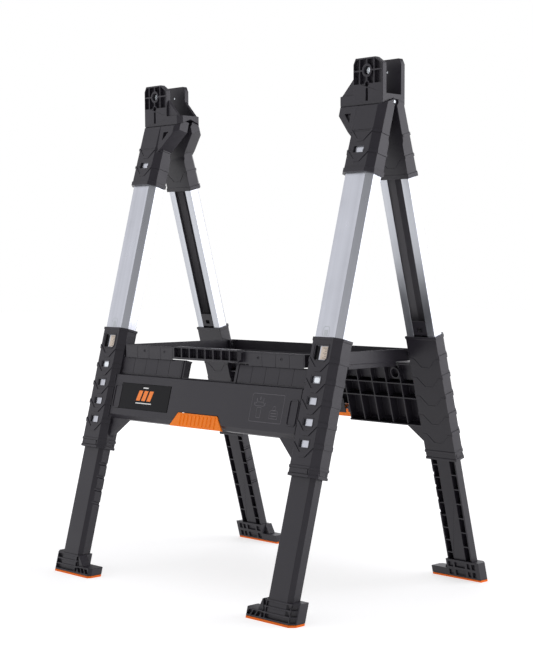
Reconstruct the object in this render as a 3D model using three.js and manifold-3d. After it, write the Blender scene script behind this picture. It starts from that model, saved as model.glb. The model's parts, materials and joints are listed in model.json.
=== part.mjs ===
// Folding sawhorse with telescopic legs, a folding tool tray and two board cradles.
// Millimetres, +Z up, X along the board, front is -Y. The origin is on the floor, under the middle.
import * as THREE from "three";
import { mergeVertices } from "three/addons/utils/BufferGeometryUtils.js";
import Module from "manifold-3d";

const wasm = await Module();
wasm.setup();

// ---- Driving dimensions ----
const GAP = 0.3; // between pieces that touch or slide
const SPLAY = 15; // degrees, each pair of legs from upright
const PIVOT_Z = 930; // height of the fold axis
const LEG_X = 312; // middle of a leg, from the middle of the object

// Sleeves of the frame mouldings: depths n are measured outwards from the plane through the fold axis
const SLEEVE_W = 76.4;
const SLEEVE_IN = -2;
const SLEEVE_OUT = 34.2;
const SLEEVE_CHAMFER = 12.5;
const SLEEVE_TOP = 449; // distances t are measured down the leg from the fold axis
const SLEEVE_LENGTH = 254;
const SLEEVE_BOTTOM = SLEEVE_TOP + SLEEVE_LENGTH;
const SLEEVE_WALL = 2.9;
const SLEEVE_BACK = 1.6;
const SLEEVE_SIDE = 2.4;
const LIP = 1.2; // how far a lip stands proud of its sleeve
const LIP_H = 5;

// Aluminium tube: a C-channel, open on its inner side
const TUBE_W = SLEEVE_W - 2 * SLEEVE_SIDE - 2 * GAP;
const TUBE_IN = SLEEVE_IN + SLEEVE_BACK + GAP;
const TUBE_OUT = SLEEVE_OUT - SLEEVE_WALL - GAP;
const TUBE_CHAMFER = 10.5;
const TUBE_WALL = 1.6;
const TUBE_MOUTH = 35;
const TUBE_TOP = 80;
const TUBE_BOTTOM = SLEEVE_BOTTOM - 39;

// Holes in the outer face of a sleeve
const HOLE_W = 22;
const HOLE_H = 13;
const HOLE_PITCH = 39;
const HOLE_COUNT = 4;
const HOLE_FIRST = SLEEVE_TOP + 78.8;
const WINDOW_W = 31;
const WINDOW_H = 26;
const WINDOW_MID = SLEEVE_TOP + 29;

// Lower leg, which slides inside the tube
const LEG_SIDE_GAP = 2.5; // from the inner side of the tube
const LEG_W = TUBE_W - 2 * (TUBE_WALL + LEG_SIDE_GAP);
const LEG_IN = TUBE_IN + TUBE_WALL + GAP;
const LEG_OUT = TUBE_OUT - TUBE_WALL - 2.6;
const LEG_CHAMFER = 7.5;
const LEG_WALL = 3;
const LEG_TOP = SLEEVE_TOP + 131;
const LEG_SPINE = 16; // half width of the plain strip down the inner face
const LEG_RIB_PITCH = 27.2; // on the edge with the notches
const LEG_OUTER_PITCH = 31;
const LEG_FOOT_BLOCK = 30; // solid length at the lower end
const NOTCH_R = 3.2;
const NOTCH_OUT = 0.6; // its middle stands this far outside the edge
const NOTCH_COUNT = 4;
const NOTCH_FIRST = SLEEVE_BOTTOM + 32;

// Foot
const PAD_H = 4.5;
const SHOE_H = 36;
const SHOE_OUTER = 49.6; // from the middle of the leg outwards
const SHOE_INNER = 35;
const TOE_REACH = 77.4; // from the middle of the leg inwards
const TOE_H = 15;
const SHOE_CHAMFER = 10;
const SHOE_DEPTH = 31.8;
const SHOE_WALL = 3;
const BACK_CELLS = [[-30, -18], [-13, 13], [19, 27], [31, 40]]; // from the middle of the leg outwards
const BACK_CELL_H = 11;
const BACK_CELL_DEPTH = 3.5;

// Leg head
const HEAD_W = 76;
const HEAD_BOTTOM = 142;
const HEAD_OUT = 36.5;
const HEAD_OUT_TOP = 32;
const HEAD_CHAMFER = 12;
const HEAD_LIPS = [62, 101]; // upper edges of the lips round the head
const HEAD_LIP_H = 3;
const HEAD_CLEAR = 0.8; // from the plane through the fold axis, above the tube
const SHOULDER_REACH = 79;
const SHOULDER_T = 22; // lower end of its upright edge
const SHOULDER_BOTTOM = 64;

// Cradle
const CRADLE_OUTER = 32.5; // from the middle of the leg outwards
const CRADLE_INNER = 41;
const WING_REACH = 83;
const WING_CORNER = 9; // cut off the corners of the wing
const CRADLE_HALF_Y = 30;
const SADDLE_Z = PIVOT_Z + 14.5;
const CRADLE_EDGE_Z = PIVOT_Z - 4;
const CRADLE_APEX_Z = PIVOT_Z + 7;
const EAR_H = 65.5;
const SLOT = 39.2; // clear width for a board on edge
const BOSS_R = 12.5;
const BOSS_BORE = 7.6;
const SCREW_H = 42.5; // screw above the saddle
const RIB = 3;
const EAR_RIB_PITCH = 18;
const KEY_SLOT_W = 5; // upright slot below the screw
const KEY_SLOT_DEPTH = 6;
const KEY_SLOT_LOW = SADDLE_Z - 12;
const KEY_SLOT_HIGH = SADDLE_Z + 11;
const EAR_SHIFT = 3; // the screw stands this far off the middle of its ear
const PIN_R = 3;
const KNUCKLE_R = 6.2;

// Apron between two sleeves
const TIER_TOP = SLEEVE_TOP + 57;
const TIER_OUT = 17;
const PANEL_TOP = SLEEVE_TOP + 97;
const PANEL_BOTTOM = SLEEVE_TOP + 188;
const PANEL_OUT = 26;
const APRON_WALL = 3;
const APRON_IN = 0.5;
const HAND_W = 150;
const HAND_BOTTOM = TIER_TOP + 35;
const GUSSET = 40;
const LABEL_W = 157;
const LABEL_H = 52;
const LABEL_X = -172;
const LABEL_T = PANEL_TOP + 43;
const PLATE = 1.2;

// Latch in the lower edge of an apron
const LATCH_TOP_HALF = 59;
const LATCH_BOTTOM_HALF = 78;
const LATCH_T = PANEL_BOTTOM - 20.5; // its pin
const LATCH_N = 15;
const LATCH_THICK = 4;
const LATCH_KNUCKLE = 4.4;
const LATCH_PIN_R = 2;
const LATCH_GAP = 2;
const LATCH_BOSS_X = LATCH_TOP_HALF + 8.5; // inner side of the bosses that hold the pin
const LATCH_BOSS_W = 7;
const LATCH_TOP = LATCH_T - LATCH_KNUCKLE - LATCH_GAP / 2; // upper edge of the notch
const LATCH_DROP = 2.5; // how far the latch reaches below the panel

// Lock plate in the bottom band of a sleeve
const LOCK_W = 44;
const LOCK_H = 9;
const LOCK_THICK = 2.6;

// Tray
const TRAY_SIDE_GAP = 8.8; // from the sleeves
const TRAY_HALF_X = LEG_X - SLEEVE_W / 2 - TRAY_SIDE_GAP;
const TRAY_FRONT = 151;
const TRAY_BACK = 144;
const TRAY_Z = PIVOT_Z - 483;
const TRAY_H = 24;
const TRAY_WALL = 3;
const TRAY_HINGE_T = SLEEVE_TOP + 39;
const TRAY_HINGE_N = 10;
const TRAY_PIN_R = 3;
const GRILLE_HALF = 99;
const GRILLE_REACH = 12;
const GRILLE_Z = TRAY_Z + 2.5;
const GRILLE_CELLS = 8;

const SEGMENTS = 16;

// ---- Materials ----
const material = (color, roughness, metalness) =>
  new THREE.MeshStandardMaterial({ color, roughness, metalness });
const PLASTIC = material(0x3a383c, 0.55, 0);
const ALUMINIUM = material(0xb4b9c2, 0.3, 1);
const ORANGE = material(0xf07a1c, 0.5, 0);
const RUBBER = material(0xd85a08, 0.8, 0);
const ZINC = material(0xc8ced2, 0.25, 1);
const STEEL = material(0x9a9ca0, 0.35, 1);
const LABEL = material(0x17171a, 0.4, 0);

// ---- Solids ----
function solid(geometry) {
  const bare = geometry.clone();
  bare.deleteAttribute("normal");
  bare.deleteAttribute("uv");
  const merged = mergeVertices(bare, 1e-4);
  return new wasm.Manifold(
    new wasm.Mesh({
      numProp: 3,
      vertProperties: new Float32Array(merged.attributes.position.array),
      triVerts: new Uint32Array(merged.index.array),
    }),
  );
}

const join = (...pieces) => pieces.reduce((a, b) => a.add(b));
const cut = (from, ...pieces) => pieces.reduce((a, b) => a.subtract(b), from);

// A closed outline, extruded along Z from z0 to z1.
function prismZ(points, z0, z1) {
  const shape = new THREE.Shape(points.map(([x, y]) => new THREE.Vector2(x, y)));
  const geometry = new THREE.ExtrudeGeometry(shape, { depth: z1 - z0, bevelEnabled: false });
  geometry.translate(0, 0, z0);
  return geometry;
}

// The outline is in X and Z, extruded along Y from y0 to y1.
function prismY(points, y0, y1) {
  const geometry = prismZ(points, -y1, -y0);
  geometry.rotateX(Math.PI / 2);
  return solid(geometry);
}

// The outline is in Y and Z, extruded along X from x0 to x1.
function prismX(points, x0, x1) {
  const geometry = prismZ(points, Math.min(x0, x1), Math.max(x0, x1));
  geometry.rotateY(Math.PI / 2);
  geometry.rotateX(Math.PI / 2);
  return solid(geometry);
}

function box(x0, x1, y0, y1, z0, z1) {
  const geometry = new THREE.BoxGeometry(Math.abs(x1 - x0), Math.abs(y1 - y0), Math.abs(z1 - z0));
  geometry.translate((x0 + x1) / 2, (y0 + y1) / 2, (z0 + z1) / 2);
  return solid(geometry);
}

function rodX(x0, x1, y, z, radius) {
  const geometry = new THREE.CylinderGeometry(radius, radius, Math.abs(x1 - x0), SEGMENTS);
  geometry.rotateZ(Math.PI / 2);
  geometry.translate((x0 + x1) / 2, y, z);
  return solid(geometry);
}

function rodY(y0, y1, x, z, radius) {
  const geometry = new THREE.CylinderGeometry(radius, radius, Math.abs(y1 - y0), SEGMENTS);
  geometry.translate(x, (y0 + y1) / 2, z);
  return solid(geometry);
}

// Leg coordinates: x as it is, n outwards (-Y) and t down the leg (-Z).
const legBox = (x0, x1, n0, n1, t0, t1) => box(x0, x1, -n1, -n0, -t1, -t0);
const legProfile = (points, x0, x1) => prismX(points.map(([n, t]) => [-n, -t]), x0, x1);
const legOutline = (points, n0, n1) => prismY(points.map(([x, t]) => [x, -t]), -n1, -n0);
const legRod = (x0, x1, n, t, radius) => rodX(x0, x1, -n, -t, radius);

// A bar along the leg whose two outer corners are chamfered; lean moves its outer side out per mm of t.
function legBar(x, width, n0, n1, chamfer, t0, t1, lean = 0) {
  const half = width / 2;
  const outline = [
    [x - half, -n0],
    [x - half, -n1 + chamfer],
    [x - half + chamfer, -n1],
    [x + half - chamfer, -n1],
    [x + half, -n1 + chamfer],
    [x + half, -n0],
  ];
  const geometry = prismZ(outline, -t1, -t0);
  const shear = new THREE.Matrix4().set(1, 0, 0, 0, 0, 1, lean, lean * t1, 0, 0, 1, 0, 0, 0, 0, 1);
  geometry.applyMatrix4(shear);
  return solid(geometry);
}

function meshOf(name, body, look) {
  const { vertProperties, triVerts } = body.getMesh();
  const geometry = new THREE.BufferGeometry();
  geometry.setAttribute("position", new THREE.BufferAttribute(new Float32Array(vertProperties), 3));
  geometry.setIndex(new THREE.BufferAttribute(new Uint32Array(triVerts), 1));
  geometry.computeVertexNormals();
  const mesh = new THREE.Mesh(geometry, look);
  mesh.name = name;
  return mesh;
}

// ---- Cradle: side is -1 on the left and 1 on the right ----
const legX = (side) => side * LEG_X;
const screwZ = SADDLE_Z + SCREW_H;

// Half a turn about the upright middle line, which turns a front ear into a rear one.
const halfTurn = (body) => body.rotate([0, 0, 180]);

function ear(side) {
  const x = legX(side);
  const left = side > 0 ? x - CRADLE_INNER : x - CRADLE_OUTER;
  const right = side > 0 ? x + CRADLE_OUTER : x + CRADLE_INNER;
  const top = SADDLE_Z + EAR_H;
  const front = -CRADLE_HALF_Y;
  const back = -SLOT / 2;
  const floor = front + 7;
  const base = SADDLE_Z - 12;
  const rim = SADDLE_Z + 19; // lower edge of the open pockets
  const plate = prismY(
    [
      [left, base],
      [right, base],
      [right, top - 12],
      [right - 18, top],
      [left + 5.5, top],
      [left, top - 10.5],
    ],
    front,
    back,
  );
  const pockets = prismY(
    [
      [left + 1.8, rim],
      [right - RIB, rim],
      [right - RIB, top - 13.5],
      [right - 19, top - RIB],
      [left + 6.5, top - RIB],
      [left + 1.8, top - 12],
    ],
    front - 1,
    floor,
  );
  const middle = screwX(side);
  const ring = rodY(front, floor + 0.5, middle, screwZ, BOSS_R);
  const smallRing = rodY(front, floor + 0.5, middle, rim - 1, 6.6);
  const ribX = (at) => box(at - RIB / 2, at + RIB / 2, front, floor + 0.5, rim - 1, top - 1);
  const crossRib = box(left + 1, right - 1, front, floor + 0.5, screwZ - RIB / 2, screwZ + RIB / 2);
  const uprights = [-EAR_RIB_PITCH, 0, EAR_RIB_PITCH].map((shift) => ribX(middle + shift));
  const inside = plate.intersect(join(ring, smallRing, ...uprights, crossRib));
  return cut(
    join(cut(plate, pockets), inside),
    rodY(front - 1, floor + 1.4, middle, screwZ, BOSS_BORE),
    rodY(front - 1, back + 1, middle, screwZ, 2.7),
    rodY(front - 1, floor, middle, rim - 1, 4.4),
  );
}

const screwX = (side) => legX(side) + (side * (CRADLE_OUTER - CRADLE_INNER)) / 2 - EAR_SHIFT;

function cradle(side) {
  const x = legX(side);
  const outer = x + side * CRADLE_OUTER;
  const inner = x - side * WING_REACH;
  const corner = WING_CORNER;
  const y = CRADLE_HALF_Y;
  const section = prismX(
    [[-y, CRADLE_EDGE_Z], [0, CRADLE_APEX_Z], [y, CRADLE_EDGE_Z], [y, SADDLE_Z], [-y, SADDLE_Z]],
    outer,
    inner,
  );
  const plan = solid(
    prismZ(
      [
        [outer, -y],
        [outer, y],
        [inner + side * corner, y],
        [inner, y - corner],
        [inner, corner - y],
        [inner + side * corner, -y],
      ],
      CRADLE_EDGE_Z - 1,
      SADDLE_Z + 1,
    ),
  );
  const innerSide = x - side * CRADLE_INNER;
  const gusset = prismY(
    [
      [innerSide + side * 4, SADDLE_Z - 3],
      [innerSide + side * 4, SADDLE_Z + 33],
      [innerSide, SADDLE_Z + 33],
      [inner + side * corner, SADDLE_Z],
      [inner + side * corner, SADDLE_Z - 3],
    ],
    -y + 4,
    -SLOT / 2,
  );
  const front = join(ear(side), gusset);
  const rear = join(halfTurn(ear(-side)), gusset.mirror([0, 1, 0]));
  const hanger = join(
    rodX(x - 6, x + 6, 0, PIVOT_Z, KNUCKLE_R),
    box(x - 6, x + 6, -4.5, 4.5, PIVOT_Z, SADDLE_Z - 5),
  );
  const body = join(section.intersect(plan), front, rear, hanger);
  const half = KEY_SLOT_W / 2;
  const keySlot = (at) => box(at - half, at + half, -y - 1, KEY_SLOT_DEPTH - y, KEY_SLOT_LOW, KEY_SLOT_HIGH);
  return cut(
    body,
    keySlot(screwX(side)),
    halfTurn(keySlot(screwX(-side))),
    rodX(x - 9, x + 9, 0, PIVOT_Z, PIN_R + 0.1),
  );
}

function earScrew(side) {
  const x = screwX(side);
  const floor = -CRADLE_HALF_Y + 8.4;
  const head = rodY(floor - GAP - 3, floor - GAP, x, screwZ, 6);
  const cross = join(
    box(x - 4, x + 4, floor - 5, floor - 2.2, screwZ - 0.8, screwZ + 0.8),
    box(x - 0.8, x + 0.8, floor - 5, floor - 2.2, screwZ - 4, screwZ + 4),
  );
  return join(cut(head, cross), rodY(floor - 1, -SLOT / 2 - 0.1, x, screwZ, 2.3));
}

// ---- Leg pieces, in leg coordinates; side is -1 or 1 along X ----

// The two spans along the pin that a head's own knuckles take; the other head takes their mirror image.
const OWN_SPANS = [[-33, -21], [7, 20]];
const OTHER_SPANS = [[-20, -7], [21, 33]];

function head(side) {
  const x = legX(side);
  const slope = THREE.MathUtils.degToRad(SPLAY + 20);
  const seat = (n) => -(KNUCKLE_R - n * Math.sin(slope)) / Math.cos(slope); // t under the cradle
  const touch = KNUCKLE_R * Math.sin(slope);
  const tubeSeat = TUBE_TOP - 2;
  const profile = legProfile(
    [
      [HEAD_CLEAR, 0],
      [HEAD_CLEAR, tubeSeat - 6],
      [SLEEVE_IN, tubeSeat],
      [SLEEVE_IN, HEAD_BOTTOM],
      [HEAD_OUT + 1, HEAD_BOTTOM],
      [HEAD_OUT + 1, seat(HEAD_OUT + 1)],
      [touch, seat(touch)],
    ],
    -LEG_X * 2,
    LEG_X * 2,
  );
  const lean = (HEAD_OUT - HEAD_OUT_TOP) / HEAD_BOTTOM;
  const bar = legBar(x, HEAD_W, -8, HEAD_OUT, HEAD_CHAMFER, -10, HEAD_BOTTOM, lean);
  const near = x - side * (HEAD_W / 2 - HEAD_CHAMFER - 1);
  const edge = x - side * (HEAD_W / 2 + 1);
  const far = x - side * SHOULDER_REACH;
  const front = HEAD_OUT_TOP - 0.2;
  const shoulder = legOutline(
    [
      [near, 0],
      [far, 0],
      [far, SHOULDER_T],
      [edge, SHOULDER_BOTTOM],
      [near, SHOULDER_BOTTOM + HEAD_CHAMFER],
    ],
    HEAD_CLEAR,
    front,
  );
  const facet = WING_CORNER;
  const plan = solid(
    prismZ(
      [
        [near, 1],
        [far, 1],
        [far, facet - front],
        [far + side * facet, -front],
        [near, -front],
      ],
      -HEAD_BOTTOM,
      1,
    ),
  );
  const recess = legOutline(
    [
      [edge - side, SHOULDER_T + 6],
      [edge - side * 17, SHOULDER_T + 6],
      [edge - side, SHOULDER_T + 24],
    ],
    front - 5,
    front + 1,
  );
  const outAt = (t) => HEAD_OUT_TOP + (HEAD_OUT - HEAD_OUT_TOP) * (t / HEAD_BOTTOM);
  const lips = HEAD_LIPS.map((t) =>
    legBar(x, HEAD_W + 1.6, 2, outAt(t) + 0.5, HEAD_CHAMFER, t, t + HEAD_LIP_H),
  );
  const flangeTop = HEAD_BOTTOM - 8;
  const flangeOut = HEAD_OUT + 1.4;
  const flange = legBar(x, HEAD_W + 3, SLEEVE_IN - 1, flangeOut, HEAD_CHAMFER + 1, flangeTop, HEAD_BOTTOM);
  const knuckles = OWN_SPANS.map(([a, b]) => legRod(x + a, x + b, 0, 0, KNUCKLE_R));
  const others = OTHER_SPANS.map(([a, b]) => legRod(x + a - 0.5, x + b + 0.5, 0, 0, KNUCKLE_R + 0.7));
  const hangerRoom = legRod(x - 6.5, x + 6.5, 0, 0, KNUCKLE_R + 0.7);
  const pinEnd = legRod(x + 33, x + HEAD_W, 0, 0, KNUCKLE_R + 0.7);
  const pinEndInner = legRod(x - 33, x - HEAD_W * 1.2, 0, 0, KNUCKLE_R + 0.7);
  const tubeRoom = legBar(
    x,
    TUBE_W + 2 * GAP,
    TUBE_IN - GAP,
    TUBE_OUT + GAP,
    TUBE_CHAMFER,
    tubeSeat,
    HEAD_BOTTOM + 9,
  );
  const inspection = legBox(x - 12, x + 12, TUBE_OUT - 1, HEAD_OUT + 9, 93, 105);
  return cut(
    join(
      join(bar, cut(shoulder.intersect(plan), recess)).intersect(profile),
      ...lips,
      flange,
      ...knuckles,
    ),
    ...others,
    hangerRoom,
    pinEnd,
    pinEndInner,
    legRod(x - 60, x + 60, 0, 0, PIN_R + 0.1),
    tubeRoom,
    inspection,
  );
}

function channel(x, t0, t1) {
  const outer = legBar(x, TUBE_W, TUBE_IN, TUBE_OUT, TUBE_CHAMFER, t0, t1);
  const inner = legBar(
    x,
    TUBE_W - 2 * TUBE_WALL,
    TUBE_IN + TUBE_WALL,
    TUBE_OUT - TUBE_WALL,
    TUBE_CHAMFER - TUBE_WALL * 0.6,
    t0 - 1,
    t1 + 1,
  );
  const half = TUBE_MOUTH / 2;
  const mouth = legBox(x - half, x + half, TUBE_IN - 1, TUBE_IN + TUBE_WALL + 1, t0 - 1, t1 + 1);
  return cut(outer, inner, mouth);
}

const BUTTON_W = HOLE_W - 8;
const BUTTON_H = HOLE_H - 3;
const BUTTON_THICK = 1.7;

function tube(side) {
  const x = legX(side);
  const buttonHole = legBox(
    x - BUTTON_W / 2 - GAP,
    x + BUTTON_W / 2 + GAP,
    TUBE_OUT - TUBE_WALL - 1,
    TUBE_OUT + 1,
    HOLE_FIRST - BUTTON_H / 2 - GAP,
    HOLE_FIRST + BUTTON_H / 2 + GAP,
  );
  return cut(channel(x, TUBE_TOP, TUBE_BOTTOM), buttonHole);
}

function tubeButton(side) {
  const x = legX(side);
  const w = BUTTON_W / 2;
  const chamfer = 2;
  const t0 = HOLE_FIRST - BUTTON_H / 2;
  const t1 = HOLE_FIRST + BUTTON_H / 2;
  return legOutline(
    [
      [x - w, t0 + chamfer],
      [x - w, t1 - chamfer],
      [x - w + chamfer, t1],
      [x + w - chamfer, t1],
      [x + w, t1 - chamfer],
      [x + w, t0 + chamfer],
      [x + w - chamfer, t0],
      [x - w + chamfer, t0],
    ],
    TUBE_OUT - BUTTON_THICK,
    TUBE_OUT,
  );
}

function channelClip(side) {
  const x = legX(side);
  const half = TUBE_MOUTH / 2 - GAP;
  const plate = legBox(x - half, x + half, TUBE_IN, TUBE_IN + 1.4, SLEEVE_TOP - 31, SLEEVE_TOP - 3);
  const catchHole = legBox(x - 6, x + 6, TUBE_IN - 1, TUBE_IN + 2, SLEEVE_TOP - 17, SLEEVE_TOP - 9);
  return cut(plate, catchHole);
}

function sleeve(side) {
  const x = legX(side);
  const outer = legBar(x, SLEEVE_W, SLEEVE_IN, SLEEVE_OUT, SLEEVE_CHAMFER, SLEEVE_TOP, SLEEVE_BOTTOM);
  const lipW = SLEEVE_W + 2 * LIP;
  const lipOut = SLEEVE_OUT + LIP;
  const lip = (t) => legBar(x, lipW, SLEEVE_IN - 1, lipOut, SLEEVE_CHAMFER + 0.6, t, t + LIP_H);
  const holes = [];
  for (let i = 0; i < HOLE_COUNT; i++) {
    const top = HOLE_FIRST + i * HOLE_PITCH - HOLE_H / 2;
    holes.push(legBox(x - HOLE_W / 2, x + HOLE_W / 2, TUBE_OUT - 1, SLEEVE_OUT + 1, top, top + HOLE_H));
  }
  const windowCut = legBox(
    x - WINDOW_W / 2,
    x + WINDOW_W / 2,
    TUBE_OUT - 1,
    SLEEVE_OUT + 1,
    WINDOW_MID - WINDOW_H / 2,
    WINDOW_MID + WINDOW_H / 2,
  );
  const room = legBar(
    x,
    TUBE_W + 2 * GAP,
    TUBE_IN - GAP,
    TUBE_OUT + GAP,
    TUBE_CHAMFER,
    SLEEVE_TOP - 9,
    SLEEVE_BOTTOM + 9,
  );
  const lockT = SLEEVE_BOTTOM - LIP_H - LOCK_H / 2;
  const lockCut = legBox(
    x - LOCK_W / 2 - GAP,
    x + LOCK_W / 2 + GAP,
    TUBE_OUT - 1,
    SLEEVE_OUT + 3,
    lockT - LOCK_H / 2 - GAP,
    lockT + LOCK_H / 2 + GAP,
  );
  const lips = [SLEEVE_TOP, SLEEVE_BOTTOM - LIP_H + 0.6, lockT - LOCK_H / 2 - LIP_H].map(lip);
  return { body: join(outer, ...lips), cuts: [room, windowCut, lockCut, ...holes] };
}

function lockPlate(side) {
  const x = legX(side);
  const lockT = SLEEVE_BOTTOM - LIP_H - LOCK_H / 2;
  const n0 = SLEEVE_OUT + 0.9 - LOCK_THICK;
  const top = lockT - LOCK_H / 2;
  return legBox(x - LOCK_W / 2, x + LOCK_W / 2, n0, n0 + LOCK_THICK, top, top + LOCK_H);
}

const sleeveInnerX = LEG_X - SLEEVE_W / 2;

// The notch that holds the latch, narrowed all round by a margin.
function latchOutline(margin, bottom) {
  const slope = (LATCH_BOTTOM_HALF - LATCH_TOP_HALF) / (PANEL_BOTTOM - LATCH_TOP);
  const half = (t) => LATCH_TOP_HALF + slope * (t - LATCH_TOP) - margin;
  const top = LATCH_TOP + margin / 2;
  return [
    [-half(top), top],
    [-half(bottom), bottom],
    [half(bottom), bottom],
    [half(top), top],
  ];
}

function apron() {
  const reach = sleeveInnerX + 1.2;
  const w = APRON_WALL;
  const bevel = 8;
  const skin = legProfile(
    [
      [APRON_IN, TIER_TOP],
      [TIER_OUT, TIER_TOP],
      [TIER_OUT, PANEL_TOP - 3],
      [PANEL_OUT, PANEL_TOP],
      [PANEL_OUT, PANEL_BOTTOM - bevel],
      [PANEL_OUT - bevel, PANEL_BOTTOM],
      [APRON_IN, PANEL_BOTTOM],
      [APRON_IN, PANEL_BOTTOM - w],
      [PANEL_OUT - bevel - 1.2, PANEL_BOTTOM - w],
      [PANEL_OUT - w, PANEL_BOTTOM - bevel - 1.2],
      [PANEL_OUT - w, PANEL_TOP + 2],
      [TIER_OUT - w, PANEL_TOP - 1],
      [TIER_OUT - w, TIER_TOP + w],
      [APRON_IN, TIER_TOP + w],
    ],
    -reach,
    reach,
  );
  const outerBlock = legProfile(
    [
      [APRON_IN + 3, TIER_TOP + 1],
      [TIER_OUT - 1, TIER_TOP + 1],
      [TIER_OUT - 1, PANEL_TOP - 2],
      [PANEL_OUT - 1, PANEL_TOP + 1],
      [PANEL_OUT - 1, PANEL_BOTTOM - bevel],
      [PANEL_OUT - bevel, PANEL_BOTTOM - 1],
      [APRON_IN + 3, PANEL_BOTTOM - 1],
    ],
    -reach,
    reach,
  );
  const ribs = [];
  const ribCount = 5;
  const ribStart = HAND_W / 2 + 3;
  const ribStep = (sleeveInnerX - ribStart) / ribCount;
  for (const side of [-1, 1])
    for (let i = 0; i < ribCount; i++) {
      const x = side * (ribStart + i * ribStep);
      ribs.push(legBox(x - RIB / 2, x + RIB / 2, APRON_IN, PANEL_OUT, TIER_TOP, PANEL_BOTTOM));
    }
  for (const t of [PANEL_TOP + 4, PANEL_TOP + 34])
    ribs.push(legBox(-reach, reach, APRON_IN, PANEL_OUT, t - RIB / 2, t + RIB / 2));
  const web = outerBlock.intersect(join(...ribs));
  const gussets = [-1, 1].map((side) =>
    legOutline(
      [
        [side * (sleeveInnerX + 1.2 - GUSSET - 8), PANEL_BOTTOM - 1],
        [side * (sleeveInnerX + 1.2), PANEL_BOTTOM - 1],
        [side * (sleeveInnerX + 1.2), PANEL_BOTTOM + GUSSET],
      ],
      6,
      PANEL_OUT - bevel,
    ),
  );
  const bosses = [-1, 1].map((side) => {
    const x0 = side * LATCH_BOSS_X;
    return legBox(x0, x0 + side * LATCH_BOSS_W, 8, PANEL_OUT - 1, LATCH_T - 7, LATCH_T + 7);
  });
  const handWindow = legBox(-HAND_W / 2, HAND_W / 2, -1, TIER_OUT + 1, TIER_TOP - 1, HAND_BOTTOM);
  const notch = legOutline(latchOutline(0, PANEL_BOTTOM + 5), -1, PANEL_OUT + 1);
  const pinReach = LATCH_BOSS_X + LATCH_BOSS_W / 2 + 1;
  const pinHole = legRod(-pinReach, pinReach, LATCH_N, LATCH_T, LATCH_PIN_R + 0.1);
  const labelSeat = legBox(
    LABEL_X - LABEL_W / 2 - 0.5,
    LABEL_X + LABEL_W / 2 + 0.5,
    PANEL_OUT - 0.8,
    PANEL_OUT + 1,
    LABEL_T - LABEL_H / 2 - 0.5,
    LABEL_T + LABEL_H / 2 + 0.5,
  );
  const body = join(cut(join(skin, web, ...gussets), handWindow, notch), ...bosses);
  return cut(body, pinHole, labelSeat);
}

function frameMoulding(hasTray) {
  const sleeves = [-1, 1].map(sleeve);
  const body = join(apron(), ...sleeves.map((s) => s.body));
  const cuts = sleeves.flatMap((s) => s.cuts);
  if (hasTray)
    for (const side of [-1, 1]) {
      const x = side * sleeveInnerX;
      const deep = x + side * (SLEEVE_SIDE + 1);
      cuts.push(legRod(x - side * 3, deep, TRAY_HINGE_N, TRAY_HINGE_T, TRAY_PIN_R + 0.1));
    }
  return cut(body, ...cuts);
}

function labelPlate() {
  const n = PANEL_OUT - 0.5;
  return legBox(
    LABEL_X - LABEL_W / 2,
    LABEL_X + LABEL_W / 2,
    n,
    n + PLATE,
    LABEL_T - LABEL_H / 2,
    LABEL_T + LABEL_H / 2,
  );
}

function latch() {
  const n1 = PANEL_OUT + 0.8;
  const plate = legOutline(latchOutline(LATCH_GAP, PANEL_BOTTOM + LATCH_DROP), n1 - LATCH_THICK, n1);
  const half = LATCH_TOP_HALF - LATCH_GAP - 1;
  const arm = legBox(-half, half, LATCH_N, n1 - 1, LATCH_T - LATCH_KNUCKLE, LATCH_T + LATCH_KNUCKLE);
  const knuckle = legRod(-half, half, LATCH_N, LATCH_T, LATCH_KNUCKLE);
  const pinHole = legRod(-half - 9, half + 9, LATCH_N, LATCH_T, LATCH_PIN_R + 0.1);
  return cut(join(plate, arm, knuckle), pinHole);
}

function latchPin() {
  const reach = LATCH_BOSS_X + LATCH_BOSS_W / 2;
  return legRod(-reach, reach, LATCH_N, LATCH_T, LATCH_PIN_R);
}

const splay = THREE.MathUtils.degToRad(SPLAY);
const floorT = (n) => (PIVOT_Z + n * Math.sin(splay)) / Math.cos(splay); // the floor, in leg coordinates
const legEnd = floorT(0) - (PAD_H + 5) / Math.cos(splay);

function lowerLeg(side) {
  const x = legX(side);
  const outer = legBar(x, LEG_W, LEG_IN, LEG_OUT, LEG_CHAMFER, LEG_TOP, legEnd);
  const half = LEG_W / 2;
  const hollowEnd = legEnd - LEG_FOOT_BLOCK;
  const hollow = [-1, 1].map((edge) =>
    legOutline(
      [
        [x + edge * LEG_SPINE, LEG_TOP + LEG_WALL],
        [x + edge * LEG_SPINE, hollowEnd],
        [x + edge * (half - LEG_WALL), hollowEnd],
        [x + edge * (half - LEG_WALL), LEG_TOP + LEG_WALL],
      ],
      LEG_IN - 1,
      LEG_OUT - LEG_CHAMFER,
    ),
  );
  const ribs = [];
  const ribDepth = LEG_OUT - LEG_CHAMFER + 1;
  const columns = [
    [-side, LEG_RIB_PITCH],
    [side, LEG_OUTER_PITCH],
  ];
  for (const [edge, pitch] of columns)
    for (let t = LEG_TOP + pitch; t < hollowEnd - RIB; t += pitch) {
      const low = Math.min(edge * (LEG_SPINE - 1), edge * (half - 1));
      const high = Math.max(edge * (LEG_SPINE - 1), edge * (half - 1));
      ribs.push(legBox(x + low, x + high, LEG_IN, ribDepth, t - RIB / 2, t + RIB / 2));
    }
  const notches = [];
  for (let i = 0; i < NOTCH_COUNT; i++) {
    const z = -NOTCH_FIRST - i * LEG_RIB_PITCH;
    notches.push(rodY(-LEG_OUT - 1, -LEG_IN + 1, x - side * (half + NOTCH_OUT), z, NOTCH_R));
  }
  return cut(join(cut(outer, ...hollow), ...ribs), ...notches);
}

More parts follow.
